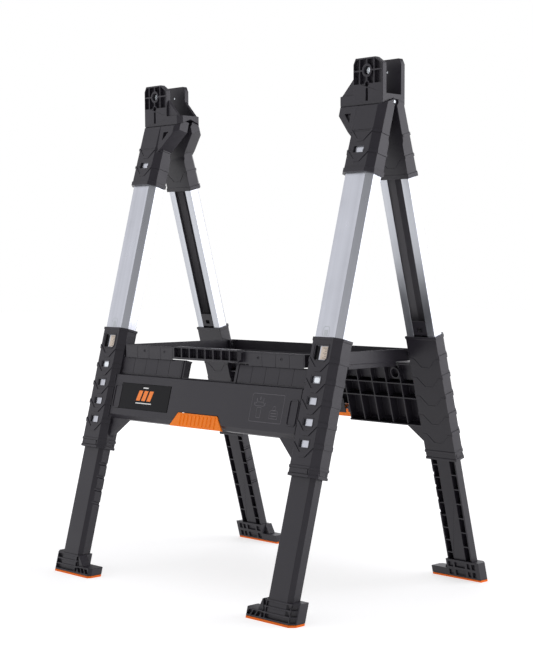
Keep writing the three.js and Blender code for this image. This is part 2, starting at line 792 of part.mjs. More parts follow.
// ---- Foot: its own group is level with the floor, below the middle of the leg ----
function leaning(points, z0, z1, y0 = 0) {
  const geometry = prismZ(points, z0, z1);
  const lean = Math.tan(splay);
  geometry.applyMatrix4(new THREE.Matrix4().set(1, 0, 0, 0, 0, 1, lean, y0, 0, 0, 1, 0, 0, 0, 0, 1));
  return solid(geometry);
}

const footBack = -SLEEVE_IN * 0.85; // from the plane of the leg, at the floor
const footY = -PIVOT_Z * Math.tan(splay);

function footOutline(side, grow, reach) {
  const x = legX(side);
  const outer = x + side * (SHOE_OUTER + grow);
  const inner = x - side * (reach + grow);
  const front = footBack - SHOE_DEPTH - grow;
  const back = footBack + grow;
  const c = SHOE_CHAMFER;
  return [
    [inner, back],
    [inner, front + c * 0.6],
    [inner + side * c * 0.6, front],
    [outer - side * c, front],
    [outer, front + c],
    [outer, back],
  ];
}

function shoe(side) {
  const x = legX(side);
  const z0 = PAD_H;
  const block = leaning(footOutline(side, 0, SHOE_INNER), z0, z0 + SHOE_H);
  const toe = leaning(footOutline(side, 0, TOE_REACH), z0, z0 + TOE_H);
  const fin = prismY(
    [
      [x - side * SHOE_INNER + side * 2, z0 + TOE_H - 1],
      [x - side * SHOE_INNER + side * 2, z0 + SHOE_H],
      [x - side * SHOE_INNER, z0 + SHOE_H],
      [x - side * (SHOE_INNER + 12), z0 + TOE_H],
      [x - side * (SHOE_INNER + 12), z0 + TOE_H - 1],
    ],
    footBack - SHOE_DEPTH + 9,
    footBack - 3,
  );
  const lean = Math.tan(splay);
  const front = footBack - SHOE_DEPTH;
  const rows = 3;
  const pitch = (SHOE_H - SHOE_WALL) / rows;
  const face = [SHOE_INNER - 2, SHOE_INNER - 10, SHOE_CHAMFER + 2 - SHOE_OUTER].map((at) => x - side * at);
  const cells = [];
  for (let row = 0; row < rows; row++) {
    const low = z0 + SHOE_WALL + row * pitch;
    const high = low + pitch - SHOE_WALL;
    const edge = front + low * lean;
    cells.push(box(face[0], face[1] - side * 1.2, edge - 5, edge + 6, low, high));
    cells.push(box(face[1] + side * 1.2, face[2], edge - 5, edge + 6, low, high));
    const corner = new THREE.BoxGeometry(SHOE_CHAMFER * 1.05, 9, high - low);
    corner.rotateZ((side * Math.PI) / 4);
    const middle = SHOE_CHAMFER / 2;
    corner.translate(x + side * (SHOE_OUTER - middle), edge + middle, (low + high) / 2);
    cells.push(solid(corner));
  }
  const back = footBack;
  for (let row = 0; row < 2; row++) {
    const low = z0 + SHOE_WALL + row * (SHOE_H / 2 - 1);
    const edge = back + low * lean;
    for (const [a, b] of BACK_CELLS)
      cells.push(box(x + side * a, x + side * b, edge - BACK_CELL_DEPTH, edge + 9, low, low + BACK_CELL_H));
  }
  const finPitch = 12;
  for (let i = 0; i < 3; i++) {
    const at = x - side * (SHOE_INNER + 4 + i * finPitch);
    const slant = side * 6;
    cells.push(
      prismY(
        [
          [at, z0 + SHOE_WALL],
          [at - side * (finPitch - SHOE_WALL), z0 + SHOE_WALL],
          [at - side * (finPitch - SHOE_WALL) + slant, z0 + TOE_H - SHOE_WALL],
          [at + slant, z0 + TOE_H - SHOE_WALL],
        ],
        front - 5,
        front + 9,
      ),
    );
  }
  return cut(join(block, toe, fin), ...cells);
}

function pad(side) {
  return leaning(footOutline(side, 0, TOE_REACH), 0, PAD_H - GAP);
}

// ---- Tray, with its grille handle at the front ----
const trayHinge = {
  y: TRAY_HINGE_T * Math.sin(splay) + TRAY_HINGE_N * Math.cos(splay),
  z: PIVOT_Z - TRAY_HINGE_T * Math.cos(splay) + TRAY_HINGE_N * Math.sin(splay),
};

function tray() {
  const w = TRAY_WALL;
  const top = TRAY_Z + TRAY_H;
  const shell = cut(
    box(-TRAY_HALF_X, TRAY_HALF_X, -TRAY_FRONT, TRAY_BACK, TRAY_Z, top),
    box(-TRAY_HALF_X + w, TRAY_HALF_X - w, -TRAY_FRONT + w, TRAY_BACK - w, TRAY_Z + w, top + 1),
  );
  const bosses = [-1, 1].map((side) => {
    const x = side * TRAY_HALF_X;
    return box(x - side, x - side * 10, trayHinge.y - 8, TRAY_BACK - 1, TRAY_Z + 1, top - 1);
  });
  const rails = [-1, 1].map((side) => {
    const x = side * (TRAY_HALF_X - 2);
    return box(x, x - side * 9, -34, 100, TRAY_Z - 9, TRAY_Z + 1);
  });
  const front = -TRAY_FRONT - GRILLE_REACH;
  const c = 5;
  const grilleTop = GRILLE_Z + TRAY_H;
  const grille = solid(
    prismZ(
      [
        [-GRILLE_HALF, -TRAY_FRONT + 1],
        [-GRILLE_HALF, front + c],
        [-GRILLE_HALF + c, front],
        [GRILLE_HALF - c, front],
        [GRILLE_HALF, front + c],
        [GRILLE_HALF, -TRAY_FRONT + 1],
      ],
      GRILLE_Z,
      grilleTop,
    ),
  );
  const rounding = prismY(
    [
      [-GRILLE_HALF, GRILLE_Z + c],
      [c - GRILLE_HALF, GRILLE_Z],
      [GRILLE_HALF - c, GRILLE_Z],
      [GRILLE_HALF, GRILLE_Z + c],
      [GRILLE_HALF, grilleTop - c],
      [GRILLE_HALF - c, grilleTop],
      [c - GRILLE_HALF, grilleTop],
      [-GRILLE_HALF, grilleTop - c],
    ],
    front - 1,
    2 - TRAY_FRONT,
  );
  const cells = [];
  const pitch = (2 * GRILLE_HALF - 8) / GRILLE_CELLS;
  for (let i = 0; i < GRILLE_CELLS; i++) {
    const x = -GRILLE_HALF + 4 + (i + 0.5) * pitch;
    const half = (pitch - RIB) / 2;
    const cellBack = front + GRILLE_REACH - 2;
    cells.push(box(x - half, x + half, front - 1, cellBack, GRILLE_Z + RIB, grilleTop - RIB));
  }
  const pinHole = rodX(-TRAY_HALF_X - 9, TRAY_HALF_X + 9, trayHinge.y, trayHinge.z, TRAY_PIN_R + 0.1);
  const handle = cut(grille.intersect(rounding), ...cells);
  return cut(join(shell, ...bosses, ...rails, handle), pinHole);
}

// ---- Assembly ----
const sawhorse = new THREE.Group();
const SIDES = [
  [-1, "left"],
  [1, "right"],
];

for (const [side, sideName] of SIDES) {
  sawhorse.add(meshOf(`cradle_${sideName}`, cradle(side), PLASTIC));
  sawhorse.add(meshOf(`ear_screw_front_${sideName}`, earScrew(side), ZINC));
  sawhorse.add(meshOf(`ear_screw_rear_${sideName}`, halfTurn(earScrew(-side)), ZINC));
  const x = legX(side);
  const pin = rodX(x - 35, x + 35, 0, PIVOT_Z, PIN_R);
  sawhorse.add(meshOf(`hinge_pin_${sideName}`, pin, STEEL));
}

// The rear legs are the front legs turned half round, so their local left is the object's right.
for (const end of ["front", "rear"]) {
  const turned = new THREE.Group();
  turned.rotation.z = end === "front" ? 0 : Math.PI;
  const legs = new THREE.Group();
  legs.position.z = PIVOT_Z;
  legs.rotation.x = -splay;
  const feet = new THREE.Group();
  feet.position.y = footY;
  turned.add(legs, feet);
  sawhorse.add(turned);
  for (const [side] of SIDES) {
    const sideName = (side > 0) === (end === "front") ? "right" : "left";
    const tag = `${end}_${sideName}`;
    legs.add(meshOf(`head_${tag}`, head(side), PLASTIC));
    legs.add(meshOf(`tube_${tag}`, tube(side), ALUMINIUM));
    legs.add(meshOf(`tube_button_${tag}`, tubeButton(side), ZINC));
    legs.add(meshOf(`channel_clip_${tag}`, channelClip(side), PLASTIC));
    legs.add(meshOf(`lower_leg_${tag}`, lowerLeg(side), PLASTIC));
    legs.add(meshOf(`lock_plate_${tag}`, lockPlate(side), PLASTIC));
    const legRoom = legBar(
      legX(side),
      LEG_W + 2 * GAP,
      LEG_IN - GAP,
      LEG_OUT + GAP,
      LEG_CHAMFER,
      LEG_TOP,
      legEnd + GAP,
    )
      .rotate([-SPLAY, 0, 0])
      .translate([0, -footY, PIVOT_Z]);
    feet.add(meshOf(`shoe_${tag}`, cut(shoe(side), legRoom), PLASTIC));
    feet.add(meshOf(`foot_pad_${tag}`, pad(side), RUBBER));
  }
  legs.add(meshOf(`frame_${end}`, frameMoulding(end === "rear"), PLASTIC));
  legs.add(meshOf(`label_plate_${end}`, labelPlate(), LABEL));
  legs.add(meshOf(`latch_${end}`, latch(), ORANGE));
  legs.add(meshOf(`latch_pin_${end}`, latchPin(), STEEL));
}

sawhorse.add(meshOf("tray", tray(), PLASTIC));
for (const [side, sideName] of SIDES) {
  const x0 = side * (TRAY_HALF_X - 9);
  const x1 = side * (sleeveInnerX + SLEEVE_SIDE - 0.4);
  sawhorse.add(meshOf(`tray_pin_${sideName}`, rodX(x0, x1, trayHinge.y, trayHinge.z, TRAY_PIN_R), STEEL));
}

export default sawhorse;
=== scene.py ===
"""Folding sawhorse: the finished surfaces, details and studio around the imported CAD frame.

Everything is in metres. Details of a leg are modelled in leg coordinates, x along the board, -y outwards
from the plane through the fold axis and -z down the leg, and are then leaned with the leg.
"""

import json
import math

import bpy
from bpy.props import FloatProperty, FloatVectorProperty, PointerProperty
from mathutils import Matrix, Vector


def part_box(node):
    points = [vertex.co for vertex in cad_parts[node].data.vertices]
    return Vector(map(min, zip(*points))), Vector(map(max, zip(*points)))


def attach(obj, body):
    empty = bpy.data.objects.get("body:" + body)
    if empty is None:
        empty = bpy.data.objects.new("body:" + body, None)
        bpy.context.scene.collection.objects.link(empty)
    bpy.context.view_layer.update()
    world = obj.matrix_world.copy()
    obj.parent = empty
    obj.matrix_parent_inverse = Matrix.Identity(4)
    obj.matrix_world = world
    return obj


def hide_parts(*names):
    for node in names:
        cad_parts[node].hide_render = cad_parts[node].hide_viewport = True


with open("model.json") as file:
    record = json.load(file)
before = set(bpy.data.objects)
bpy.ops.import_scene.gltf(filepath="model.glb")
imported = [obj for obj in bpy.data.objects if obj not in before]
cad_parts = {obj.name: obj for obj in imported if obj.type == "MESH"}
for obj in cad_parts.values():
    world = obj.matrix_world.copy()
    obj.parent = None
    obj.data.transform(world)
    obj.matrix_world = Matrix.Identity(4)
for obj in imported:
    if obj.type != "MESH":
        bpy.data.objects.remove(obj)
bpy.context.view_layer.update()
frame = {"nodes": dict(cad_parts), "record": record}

bl_info = {
    "name": "Folding sawhorse",
    "version": (1, 0, 0),
    "blender": (4, 5, 0),
    "location": "View3D > Sidebar > Sawhorse",
    "description": "Finishes a folding sawhorse with telescopic legs around its CAD frame",
    "category": "Add Mesh",
}

MM = 0.001
ENDS = ("front", "rear")
SIDES = ("left", "right")

# Places that the CAD frame gives
pin_low, pin_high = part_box("hinge_pin_right")
LEG_X = (pin_low[0] + pin_high[0]) / 2
PIVOT_Z = (pin_low[2] + pin_high[2]) / 2
SPLAY = math.radians(15)
label_low, label_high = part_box("label_plate_front")
LABEL_X = (label_low[0] + label_high[0]) / 2

# Leg coordinates, in millimetres: n outwards from the leg's plane and t down from the fold axis
SLEEVE_W = 76.4
SLEEVE_IN = -2.0
SLEEVE_OUT = 34.2
SLEEVE_CHAMFER = 12.5
SLEEVE_TOP = 449.0
TUBE_OUT = 31.0
WINDOW_W = 31.0
WINDOW_H = 26.0
WINDOW_T = 478.0
HOLE_W = 22.0
HOLE_H = 13.0
HOLE_FIRST = 527.8
HOLE_PITCH = 39.0
HOLE_COUNT = 4
HEAD_W = 76.0
HEAD_OUT_TOP = 32.0
HEAD_OUT = 36.5
HEAD_BOTTOM = 142.0
HEAD_CHAMFER = 12.0
PANEL_OUT = 26.0
PANEL_TOP = 546.0
PANEL_BOTTOM = 637.0
TIER_OUT = 17.0
TIER_TOP = 506.0
HAND_HALF = 75.0
SLEEVE_INNER_X = LEG_X / MM - SLEEVE_W / 2
LABEL_T = 589.0
LATCH_T = 616.5
LATCH_N = 26.8
TRAY_HALF_X = 265.0
TRAY_FRONT = 151.0
TRAY_Z = 447.0
TRAY_H = 24.0
GRILLE_HALF = 99.0

# Places and sizes of the added details, in millimetres
NEAR = 1e-6  # metres, within which two places are the same
BAND_FIRST = SLEEVE_TOP + 46
BAND_FLAT = 7.5
HEAD_BANDS = (66, 105)
HEAD_SPLIT = 80  # below this the heads reach in as far as the sleeves
INNER_LINE_FLAT = 9.0
INNER_LINE_H = 2.0
INNER_LINE_INSET = 1.5
WINDOW_MARGIN = 4
HOLE_MARGIN = 3
LUG_HALF = 12.0
LUG_GAP = 1.5
LUG_T = (566, 616)
SEAM_X = 277.2
SEAM_W = 2.8
LATCH_RIBS = 8
LATCH_PITCH = 11.4
LATCH_BACKING_HALF = 62
# Size and place of the dark sheet of painted shade in each tube's channel
SHADE_SHEET_HALF = 33.6
SHADE_SHEET_IN = 3.0
SHADE_SHEET_CORNER = 9.3
SHADE_SHEET_T = (146.0, 446.0)
TAB_HALF = 9
TONGUE_HALF = 4.5
TAB_T = (428, 447)
TONGUE_TOP = 435
SCALE_TICKS = 7
SCALE_PITCH = 3
BASE_N = (2, 20)
BASE_T = (688.5, 697.5)
BOSS_X = 226
BOSS_N = 7
BOSS_T = 527
BOSS_R = 12
BOSS_H = 13
BOSS_WALL = 2.6
BOSS_DEPTH = 9


# ---- Settings ----
def size(name, default, text):
    return FloatProperty(name=name, description=text, default=default, subtype="DISTANCE", unit="LENGTH")


def colour(name, default, text):
    return FloatVectorProperty(name=name, description=text, default=default, subtype="COLOR", min=0, max=1)


class SawhorseSizes(bpy.types.PropertyGroup):
    edge_round: size("Edge rounding", 0.0007, "Radius of the mouldings' outer edges")
    metal_round: size("Metal edge rounding", 0.0004, "Radius of the tubes' edges")
    band_height: size("Band height", 0.0085, "Height of a raised band on a sleeve")
    band_proud: size("Band depth", 0.0014, "How far a band's lower edge stands proud")
    band_edge: size("Band edge", 0.00035, "Radius of a band's edges")
    band_drop: size("Band drop", 0.018, "How far a band's middle hangs below its arms")
    line_width: size("Raised line", 0.0016, "Width of a raised outline")
    tile_proud: size("Tile depth", 0.0009, "Thickness of the overlapping tiles")
    seam: size("Seam", 0.0013, "Gap between two tiles")


class SawhorseColours(bpy.types.PropertyGroup):
    plastic: colour("Plastic", (0.0175, 0.0156, 0.0210), "Charcoal moulded plastic")
    aluminium: colour("Aluminium", (0.49, 0.505, 0.54), "Satin extruded aluminium")
    orange: colour("Orange", (0.95, 0.215, 0.004), "Orange moulded plastic")
    rubber: colour("Rubber", (0.76, 0.135, 0.001), "Orange rubber of the foot pads")
    zinc: colour("Zinc", (0.74, 0.78, 0.80), "Zinc-plated steel")
    # Also the black of the painted shade patches at the upper windows
    label: colour("Label", (0.004, 0.004, 0.005), "Black of the label")
    scale: colour("Scale", (0.66, 0.56, 0.46), "Beige of the height scale")
    # Also the grey of the dark sheets of painted shade in the tubes' channels
    mark: colour("Marking", (0.115, 0.110, 0.122), "Grey of the raised markings")


def sizes():
    return bpy.context.scene.sawhorse_sizes


def colours():
    return bpy.context.scene.sawhorse_colours


# ---- Materials ----
class Nodes:
    """A material's node tree, with short calls that add and link its nodes."""

    def __init__(self, name):
        self.material = bpy.data.materials.new(name)
        self.material.use_nodes = True
        self.tree = self.material.node_tree
        self.shader = self.tree.nodes["Principled BSDF"]

    def add(self, kind, **values):
        node = self.tree.nodes.new(kind)
        for key, value in values.items():
            if hasattr(node, key):
                setattr(node, key, value)
            else:
                node.inputs[key.replace("_", " ")].default_value = value
        return node

    def link(self, source, target):
        self.tree.links.new(source, target)

    def place(self, lean=0.0, stretch=(1, 1, 1)):
        """Object coordinates, turned about X by lean and stretched."""
        coordinates = self.add("ShaderNodeTexCoord")
        mapping = self.add("ShaderNodeMapping", vector_type="TEXTURE")
        mapping.inputs["Rotation"].default_value = (lean, 0, 0)
        mapping.inputs["Scale"].default_value = stretch
        self.link(coordinates.outputs["Object"], mapping.inputs["Vector"])
        return mapping.outputs["Vector"]

    def noise(self, vector, scale, detail=2.0, roughness=0.5):
        node = self.add("ShaderNodeTexNoise", Scale=scale, Detail=detail, Roughness=roughness)
        self.link(vector, node.inputs["Vector"])
        return node.outputs["Fac"]

    def spread(self, value, low, high, start=0.3, end=0.7):
        node = self.add("ShaderNodeMapRange", clamp=True)
        for key, number in zip(("From Min", "From Max", "To Min", "To Max"), (start, end, low, high)):
            node.inputs[key].default_value = number
        self.link(value, node.inputs["Value"])
        return node.outputs["Result"]

    def mix(self, factor, first, second):
        node = self.add("ShaderNodeMix", data_type="RGBA")
        node.inputs["A"].default_value = (*first, 1)
        node.inputs["B"].default_value = (*second, 1)
        self.link(factor, node.inputs["Factor"])
        return node.outputs["Result"]

    def bump(self, height, strength, distance, below=None):
        node = self.add("ShaderNodeBump", Strength=strength, Distance=distance)
        self.link(height, node.inputs["Height"])
        if below is not None:
            self.link(below, node.inputs["Normal"])
        return node.outputs["Normal"]


def shade(base, factor):
    return tuple(min(1.0, channel * factor) for channel in base)


def moulded(name, base, roughness, grain, grain_depth, specular=0.5):
    """Moulded plastic: a fine spark-eroded grain, faint flow variation and light scuffs."""
    nodes = Nodes(name)
    place = nodes.place()
    flow = nodes.noise(place, 9, 4, 0.6)
    scuff = nodes.noise(place, 55, 8, 0.72)
    fine = nodes.noise(place, grain, 2)
    tone = nodes.mix(nodes.spread(flow, 0, 1), shade(base, 0.92), shade(base, 1.10))
    worn = nodes.add("ShaderNodeMix", data_type="RGBA")
    worn.inputs["B"].default_value = (*shade(base, 1.45), 1)
    nodes.link(tone, worn.inputs["A"])
    nodes.link(nodes.spread(scuff, 0, 0.35, 0.60, 0.78), worn.inputs["Factor"])
    nodes.link(worn.outputs["Result"], nodes.shader.inputs["Base Color"])
    nodes.link(nodes.spread(flow, roughness - 0.05, roughness + 0.06), nodes.shader.inputs["Roughness"])
    grainy = nodes.bump(fine, 0.35, grain_depth)
    nodes.link(nodes.bump(scuff, 0.06, 0.0004, grainy), nodes.shader.inputs["Normal"])
    nodes.shader.inputs["Specular IOR Level"].default_value = specular
    return nodes.material


def extruded(name, base, lean):
    """Extruded aluminium: die lines along the leg, leaned with it."""
    nodes = Nodes(name)
    lines = nodes.noise(nodes.place(lean, (0.0016, 0.0016, 0.9)), 1, 6, 0.65)
    broad = nodes.noise(nodes.place(lean, (0.012, 0.012, 1.6)), 1, 3)
    smudge = nodes.noise(nodes.place(), 14, 5, 0.6)
    tone = nodes.mix(nodes.spread(broad, 0, 1), shade(base, 0.90), shade(base, 1.03))
    nodes.link(tone, nodes.shader.inputs["Base Color"])
    nodes.link(nodes.spread(smudge, 0.26, 0.38), nodes.shader.inputs["Roughness"])
    nodes.link(nodes.bump(lines, 0.12, 0.00006), nodes.shader.inputs["Normal"])
    nodes.shader.inputs["Metallic"].default_value = 1
    return nodes.material


def plated(name, base, roughness):
    """Plated or turned steel with fine scratches and slightly cloudy patches."""
    nodes = Nodes(name)
    cloud = nodes.noise(nodes.place(), 160, 5, 0.6)
    scratch = nodes.noise(nodes.place(0, (0.02, 1, 1)), 900, 3)
    tone = nodes.mix(nodes.spread(cloud, 0, 1), shade(base, 0.8), base)
    nodes.link(tone, nodes.shader.inputs["Base Color"])
    nodes.link(nodes.spread(cloud, roughness - 0.06, roughness + 0.1), nodes.shader.inputs["Roughness"])
    nodes.link(nodes.bump(scratch, 0.1, 0.00005), nodes.shader.inputs["Normal"])
    nodes.shader.inputs["Metallic"].default_value = 1
    return nodes.material


def printed(name, base, roughness, specular=0.5):
    """A printed label's film, with faint orange-peel."""
    nodes = Nodes(name)
    peel = nodes.noise(nodes.place(), 420, 2)
    tint = nodes.noise(nodes.place(), 30, 3)
    tone = nodes.mix(nodes.spread(tint, 0, 1), shade(base, 0.94), shade(base, 1.06))
    nodes.link(tone, nodes.shader.inputs["Base Color"])
    nodes.link(nodes.spread(peel, roughness - 0.03, roughness + 0.03), nodes.shader.inputs["Roughness"])
    nodes.link(nodes.bump(peel, 0.08, 0.00008), nodes.shader.inputs["Normal"])
    nodes.shader.inputs["Specular IOR Level"].default_value = specular
    return nodes.material


MAKERS = {
    "plastic": lambda: moulded("charcoal plastic", colours().plastic, 0.38, 1500, 0.00012, 0.36),
    "mark": lambda: moulded("raised marking and painted shade", colours().mark, 0.45, 1500, 0.00010),
    "orange": lambda: moulded("orange plastic", colours().orange, 0.42, 1500, 0.00010, 0.25),
    "rubber": lambda: moulded("foot rubber", colours().rubber, 0.62, 1100, 0.00020, 0.3),
    "zinc": lambda: plated("zinc plate", colours().zinc, 0.22),
    "steel": lambda: plated("turned steel", shade(colours().zinc, 0.62), 0.34),
    "label": lambda: printed("label film and painted shade", colours().label, 0.34, 0.12),
    "orange_print": lambda: printed("orange print", colours().orange, 0.35),
    "white_print": lambda: printed("white print", (0.80, 0.80, 0.78), 0.35),
    "scale": lambda: printed("scale film", colours().scale, 0.45),
    "front_tube": lambda: extruded("front aluminium", colours().aluminium, -SPLAY),
    "rear_tube": lambda: extruded("rear aluminium", colours().aluminium, SPLAY),
}
made = {}


def finish_of(name):
    if name not in made:
        made[name] = MAKERS[name]()
    return made[name]


# ---- Modelling ----
def focus(*objects):
    bpy.ops.object.select_all(action="DESELECT")
    for item in objects:
        item.select_set(True)
    bpy.context.view_layer.objects.active = objects[0]


def enter(item, kind, wanted):
    """Edit mode, with only the wanted vertices, edges or faces selected."""
    focus(item)
    bpy.ops.object.mode_set(mode="EDIT")
    bpy.ops.mesh.select_mode(type=kind)
    bpy.ops.mesh.select_all(action="DESELECT")
    bpy.ops.object.mode_set(mode="OBJECT")
    parts = {"VERT": item.data.vertices, "EDGE": item.data.edges, "FACE": item.data.polygons}[kind]
    for part in parts:
        part.select = bool(wanted(part))
    bpy.ops.object.mode_set(mode="EDIT")


def leave():
    bpy.ops.object.mode_set(mode="OBJECT")


def modify(item, kind, **values):
    """Adds a modifier and applies it."""
    focus(item)
    modifier = item.modifiers.new(kind.lower(), kind)
    for key, value in values.items():
        setattr(modifier, key, value)
    bpy.ops.object.modifier_apply(modifier=modifier.name)


def soften(item, width, segments=2, angle=32, clamp=True):
    modify(
        item,
        "BEVEL",
        width=width,
        segments=segments,
        limit_method="ANGLE",
        angle_limit=math.radians(angle),
        use_clamp_overlap=clamp,
        miter_outer="MITER_ARC",
    )
    focus(item)
    bpy.ops.object.shade_smooth_by_angle(angle=math.radians(40))
    modify(item, "WEIGHTED_NORMAL", mode="FACE_AREA", weight=50, keep_sharp=True)


def block(name, x, n, t, at=(0, 0)):
    """A rectangular blank in leg coordinates; x, n and t are (from, to) in millimetres."""
    bpy.ops.object.select_all(action="DESELECT")
    low = (x[0], -n[1], -t[1])
    high = (x[1], -n[0], -t[0])
    centre = [(a + b) / 2 * MM for a, b in zip(low, high)]
    extent = [abs(b - a) * MM for a, b in zip(low, high)]
    bpy.ops.mesh.primitive_cube_add(size=1, location=centre, scale=extent)
    item = bpy.context.active_object
    item.name = name
    settle(item)
    return item


def settle(item):
    """Applies the object's place, turn and scale to its mesh."""
    focus(item)
    bpy.ops.object.transform_apply(location=True, rotation=True, scale=True)


def copies(item, offsets, name=None):
    """Copies of item at each offset in millimetres, each with its own mesh, joined into one piece."""
    spread = []
    for offset in offsets:
        twin = item.copy()
        twin.data = item.data.copy()
        twin.data.transform(Matrix.Translation(Vector(offset) * MM))
        bpy.context.scene.collection.objects.link(twin)
        spread.append(twin)
    if len(spread) > 1:
        focus(*spread)
        bpy.ops.object.join()
    spread[0].name = name or item.name
    return spread[0]


def remove(*items):
    for item in items:
        mesh = item.data
        bpy.data.objects.remove(item)
        bpy.data.meshes.remove(mesh)


def joined(name, *items):
    if len(items) > 1:
        focus(*items)
        bpy.ops.object.join()
    items[0].name = name
    items[0].data.name = name
    return items[0]


def leg_matrix(end):
    turn = Matrix.Rotation(0 if end == "front" else math.pi, 4, "Z")
    return turn @ Matrix.Translation((0, 0, PIVOT_Z)) @ Matrix.Rotation(-SPLAY, 4, "X")


def lean(item, end):
    """Takes a piece from leg coordinates to its place on the front or rear legs."""
    item.matrix_world = leg_matrix(end)
    settle(item)


def local_side(end, side):
    """-1 or 1: which way along X, in leg coordinates, the side lies."""
    return (1 if side == "right" else -1) * (1 if end == "front" else -1)


def fit(item, body, look):
    """Gives a finished piece its material and the body that it rides on."""
    item.data.materials.clear()
    item.data.materials.append(finish_of(look))
    item.data.name = item.name
    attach(item, body)
    return item


def body_of(node):
    for body, nodes in frame["record"]["behaviour"]["bodies"].items():
        if node in nodes:
            return body
    raise ValueError(f"{node} is in no body")


def refined(node, look, width, segments=2, angle=32):
    """A CAD solid as a moulding with rounded edges, standing for its node."""
    source = frame["nodes"][node]
    item = bpy.data.objects.new(node + "_finished", source.data.copy())
    bpy.context.scene.collection.objects.link(item)
    enter(item, "VERT", lambda part: True)
    bpy.ops.mesh.remove_doubles(threshold=0.00002)
    bpy.ops.mesh.normals_make_consistent(inside=False)
    leave()
    soften(item, width, segments, angle, clamp=False)
    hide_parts(node)
    return fit(item, body_of(node), look)


# ---- Pieces ----
class SAWHORSE_OT_mouldings(bpy.types.Operator):
    """Rounds the edges of every plastic moulding and gives it its grained plastic"""

    bl_idname = "sawhorse.mouldings"
    bl_label = "Mouldings"

    def execute(self, context):
        width = sizes().edge_round
        names = ["cradle", "head_front", "head_rear", "lower_leg_front", "lower_leg_rear"]
        names += ["shoe_front", "shoe_rear", "channel_clip_front", "channel_clip_rear"]
        names += ["lock_plate_front", "lock_plate_rear"]
        for name in names:
            for side in SIDES:
                refined(f"{name}_{side}", "plastic", width)
        for name in ("frame_front", "frame_rear", "tray"):
            refined(name, "plastic", width)
        return {"FINISHED"}


class SAWHORSE_OT_metal(bpy.types.Operator):
    """Finishes the tubes, their buttons, the screws and the pins"""

    bl_idname = "sawhorse.metal"
    bl_label = "Metal parts"

    def execute(self, context):
        width = sizes().metal_round
        for end in ENDS:
            for side in SIDES:
                refined(f"tube_{end}_{side}", f"{end}_tube", width)
                refined(f"tube_button_{end}_{side}", "zinc", width)
                refined(f"ear_screw_{end}_{side}", "zinc", width)
            refined(f"latch_pin_{end}", "steel", width)
        for side in SIDES:
            refined(f"hinge_pin_{side}", "steel", width)
            refined(f"tray_pin_{side}", "steel", width)
        return {"FINISHED"}


class SAWHORSE_OT_foot_pads(bpy.types.Operator):
    """Rounds the rubber pads under the shoes"""

    bl_idname = "sawhorse.foot_pads"
    bl_label = "Foot pads"

    def execute(self, context):
        for end in ENDS:
            for side in SIDES:
                refined(f"foot_pad_{end}_{side}", "rubber", sizes().edge_round, 3)
        return {"FINISHED"}


def ends_of(item, edge):
    return [item.data.vertices[i].co for i in edge.vertices]


def band(name, half, n0, n1, chamfer, t, drop, flat_half, height, proud):
    """A raised band round three sides of a box section: level arms, and a middle that hangs by drop."""
    corner = half - chamfer
    shoulder = flat_half + drop
    bpy.ops.object.select_all(action="DESELECT")
    bpy.ops.mesh.primitive_plane_add(size=1, rotation=(0, math.pi / 2, 0))
    item = bpy.context.active_object
    item.name = name
    depth = n1 - chamfer - n0
    item.scale = (height * MM, depth * MM, 1)
    item.location = (-half * MM, -(n0 + n1 - chamfer) / 2 * MM, -(t - height / 2) * MM)
    settle(item)
    outer = -(n1 - chamfer) * MM
    enter(item, "EDGE", lambda edge: all(abs(point.y - outer) < NEAR for point in ends_of(item, edge)))
    steps = [
        (chamfer, -chamfer, 0),
        (corner - shoulder, 0, 0),
        (drop, 0, -drop),
        (2 * flat_half, 0, 0),
        (drop, 0, drop),
        (corner - shoulder, 0, 0),
        (chamfer, chamfer, 0),
        (0, depth, 0),
    ]
    for step in steps:
        bpy.ops.mesh.extrude_edges_move(TRANSFORM_OT_translate={"value": tuple(v * MM for v in step)})
    leave()
    return item


def thickened(item, proud, bevel):
    """A sheet that wraps a leg, given its thickness outwards and soft edges."""
    enter(item, "FACE", lambda part: True)
    bpy.ops.mesh.normals_make_consistent(inside=False)
    leave()
    faces = item.data.polygons
    inwards = sum((face.center.y + 0.001) * face.normal.y for face in faces) < 0
    modify(item, "SOLIDIFY", thickness=proud, offset=-1 if inwards else 1, use_even_offset=True)
    enter(item, "FACE", lambda part: True)
    bpy.ops.mesh.normals_make_consistent(inside=False)
    leave()
    soften(item, bevel, 2)


class SAWHORSE_OT_sleeve_bands(bpy.types.Operator):
    """Wraps the stepped bands round the outside of each sleeve, and the matching lines on its inner face"""

    bl_idname = "sawhorse.sleeve_bands"
    bl_label = "Sleeve bands"

    def execute(self, context):
        height = sizes().band_height / MM
        proud = sizes().band_proud / MM
        drop = sizes().band_drop / MM
        drops = [-HOLE_PITCH * i for i in range(HOLE_COUNT + 1)]
        section = (SLEEVE_W / 2, SLEEVE_IN, SLEEVE_OUT, SLEEVE_CHAMFER)
        outside = band("band", *section, BAND_FIRST, drop, BAND_FLAT, height, proud)
        thickened(outside, sizes().band_proud, sizes().band_edge)
        inside = inner_band(SLEEVE_W / 2, SLEEVE_IN, BAND_FIRST, drop, INNER_LINE_H)
        for end in ENDS:
            for side in SIDES:
                x = local_side(end, side) * LEG_X / MM
                stack = copies(outside, [(x, 0, z) for z in drops], f"sleeve_bands_{end}_{side}")
                lean(stack, end)
                fit(stack, f"{end}_frame", "plastic")
                lines = copies(inside, [(x, 0, z) for z in drops], f"sleeve_lines_{end}_{side}")
                lean(lines, end)
                fit(lines, f"{end}_frame", "plastic")
        remove(outside, inside)
        return {"FINISHED"}


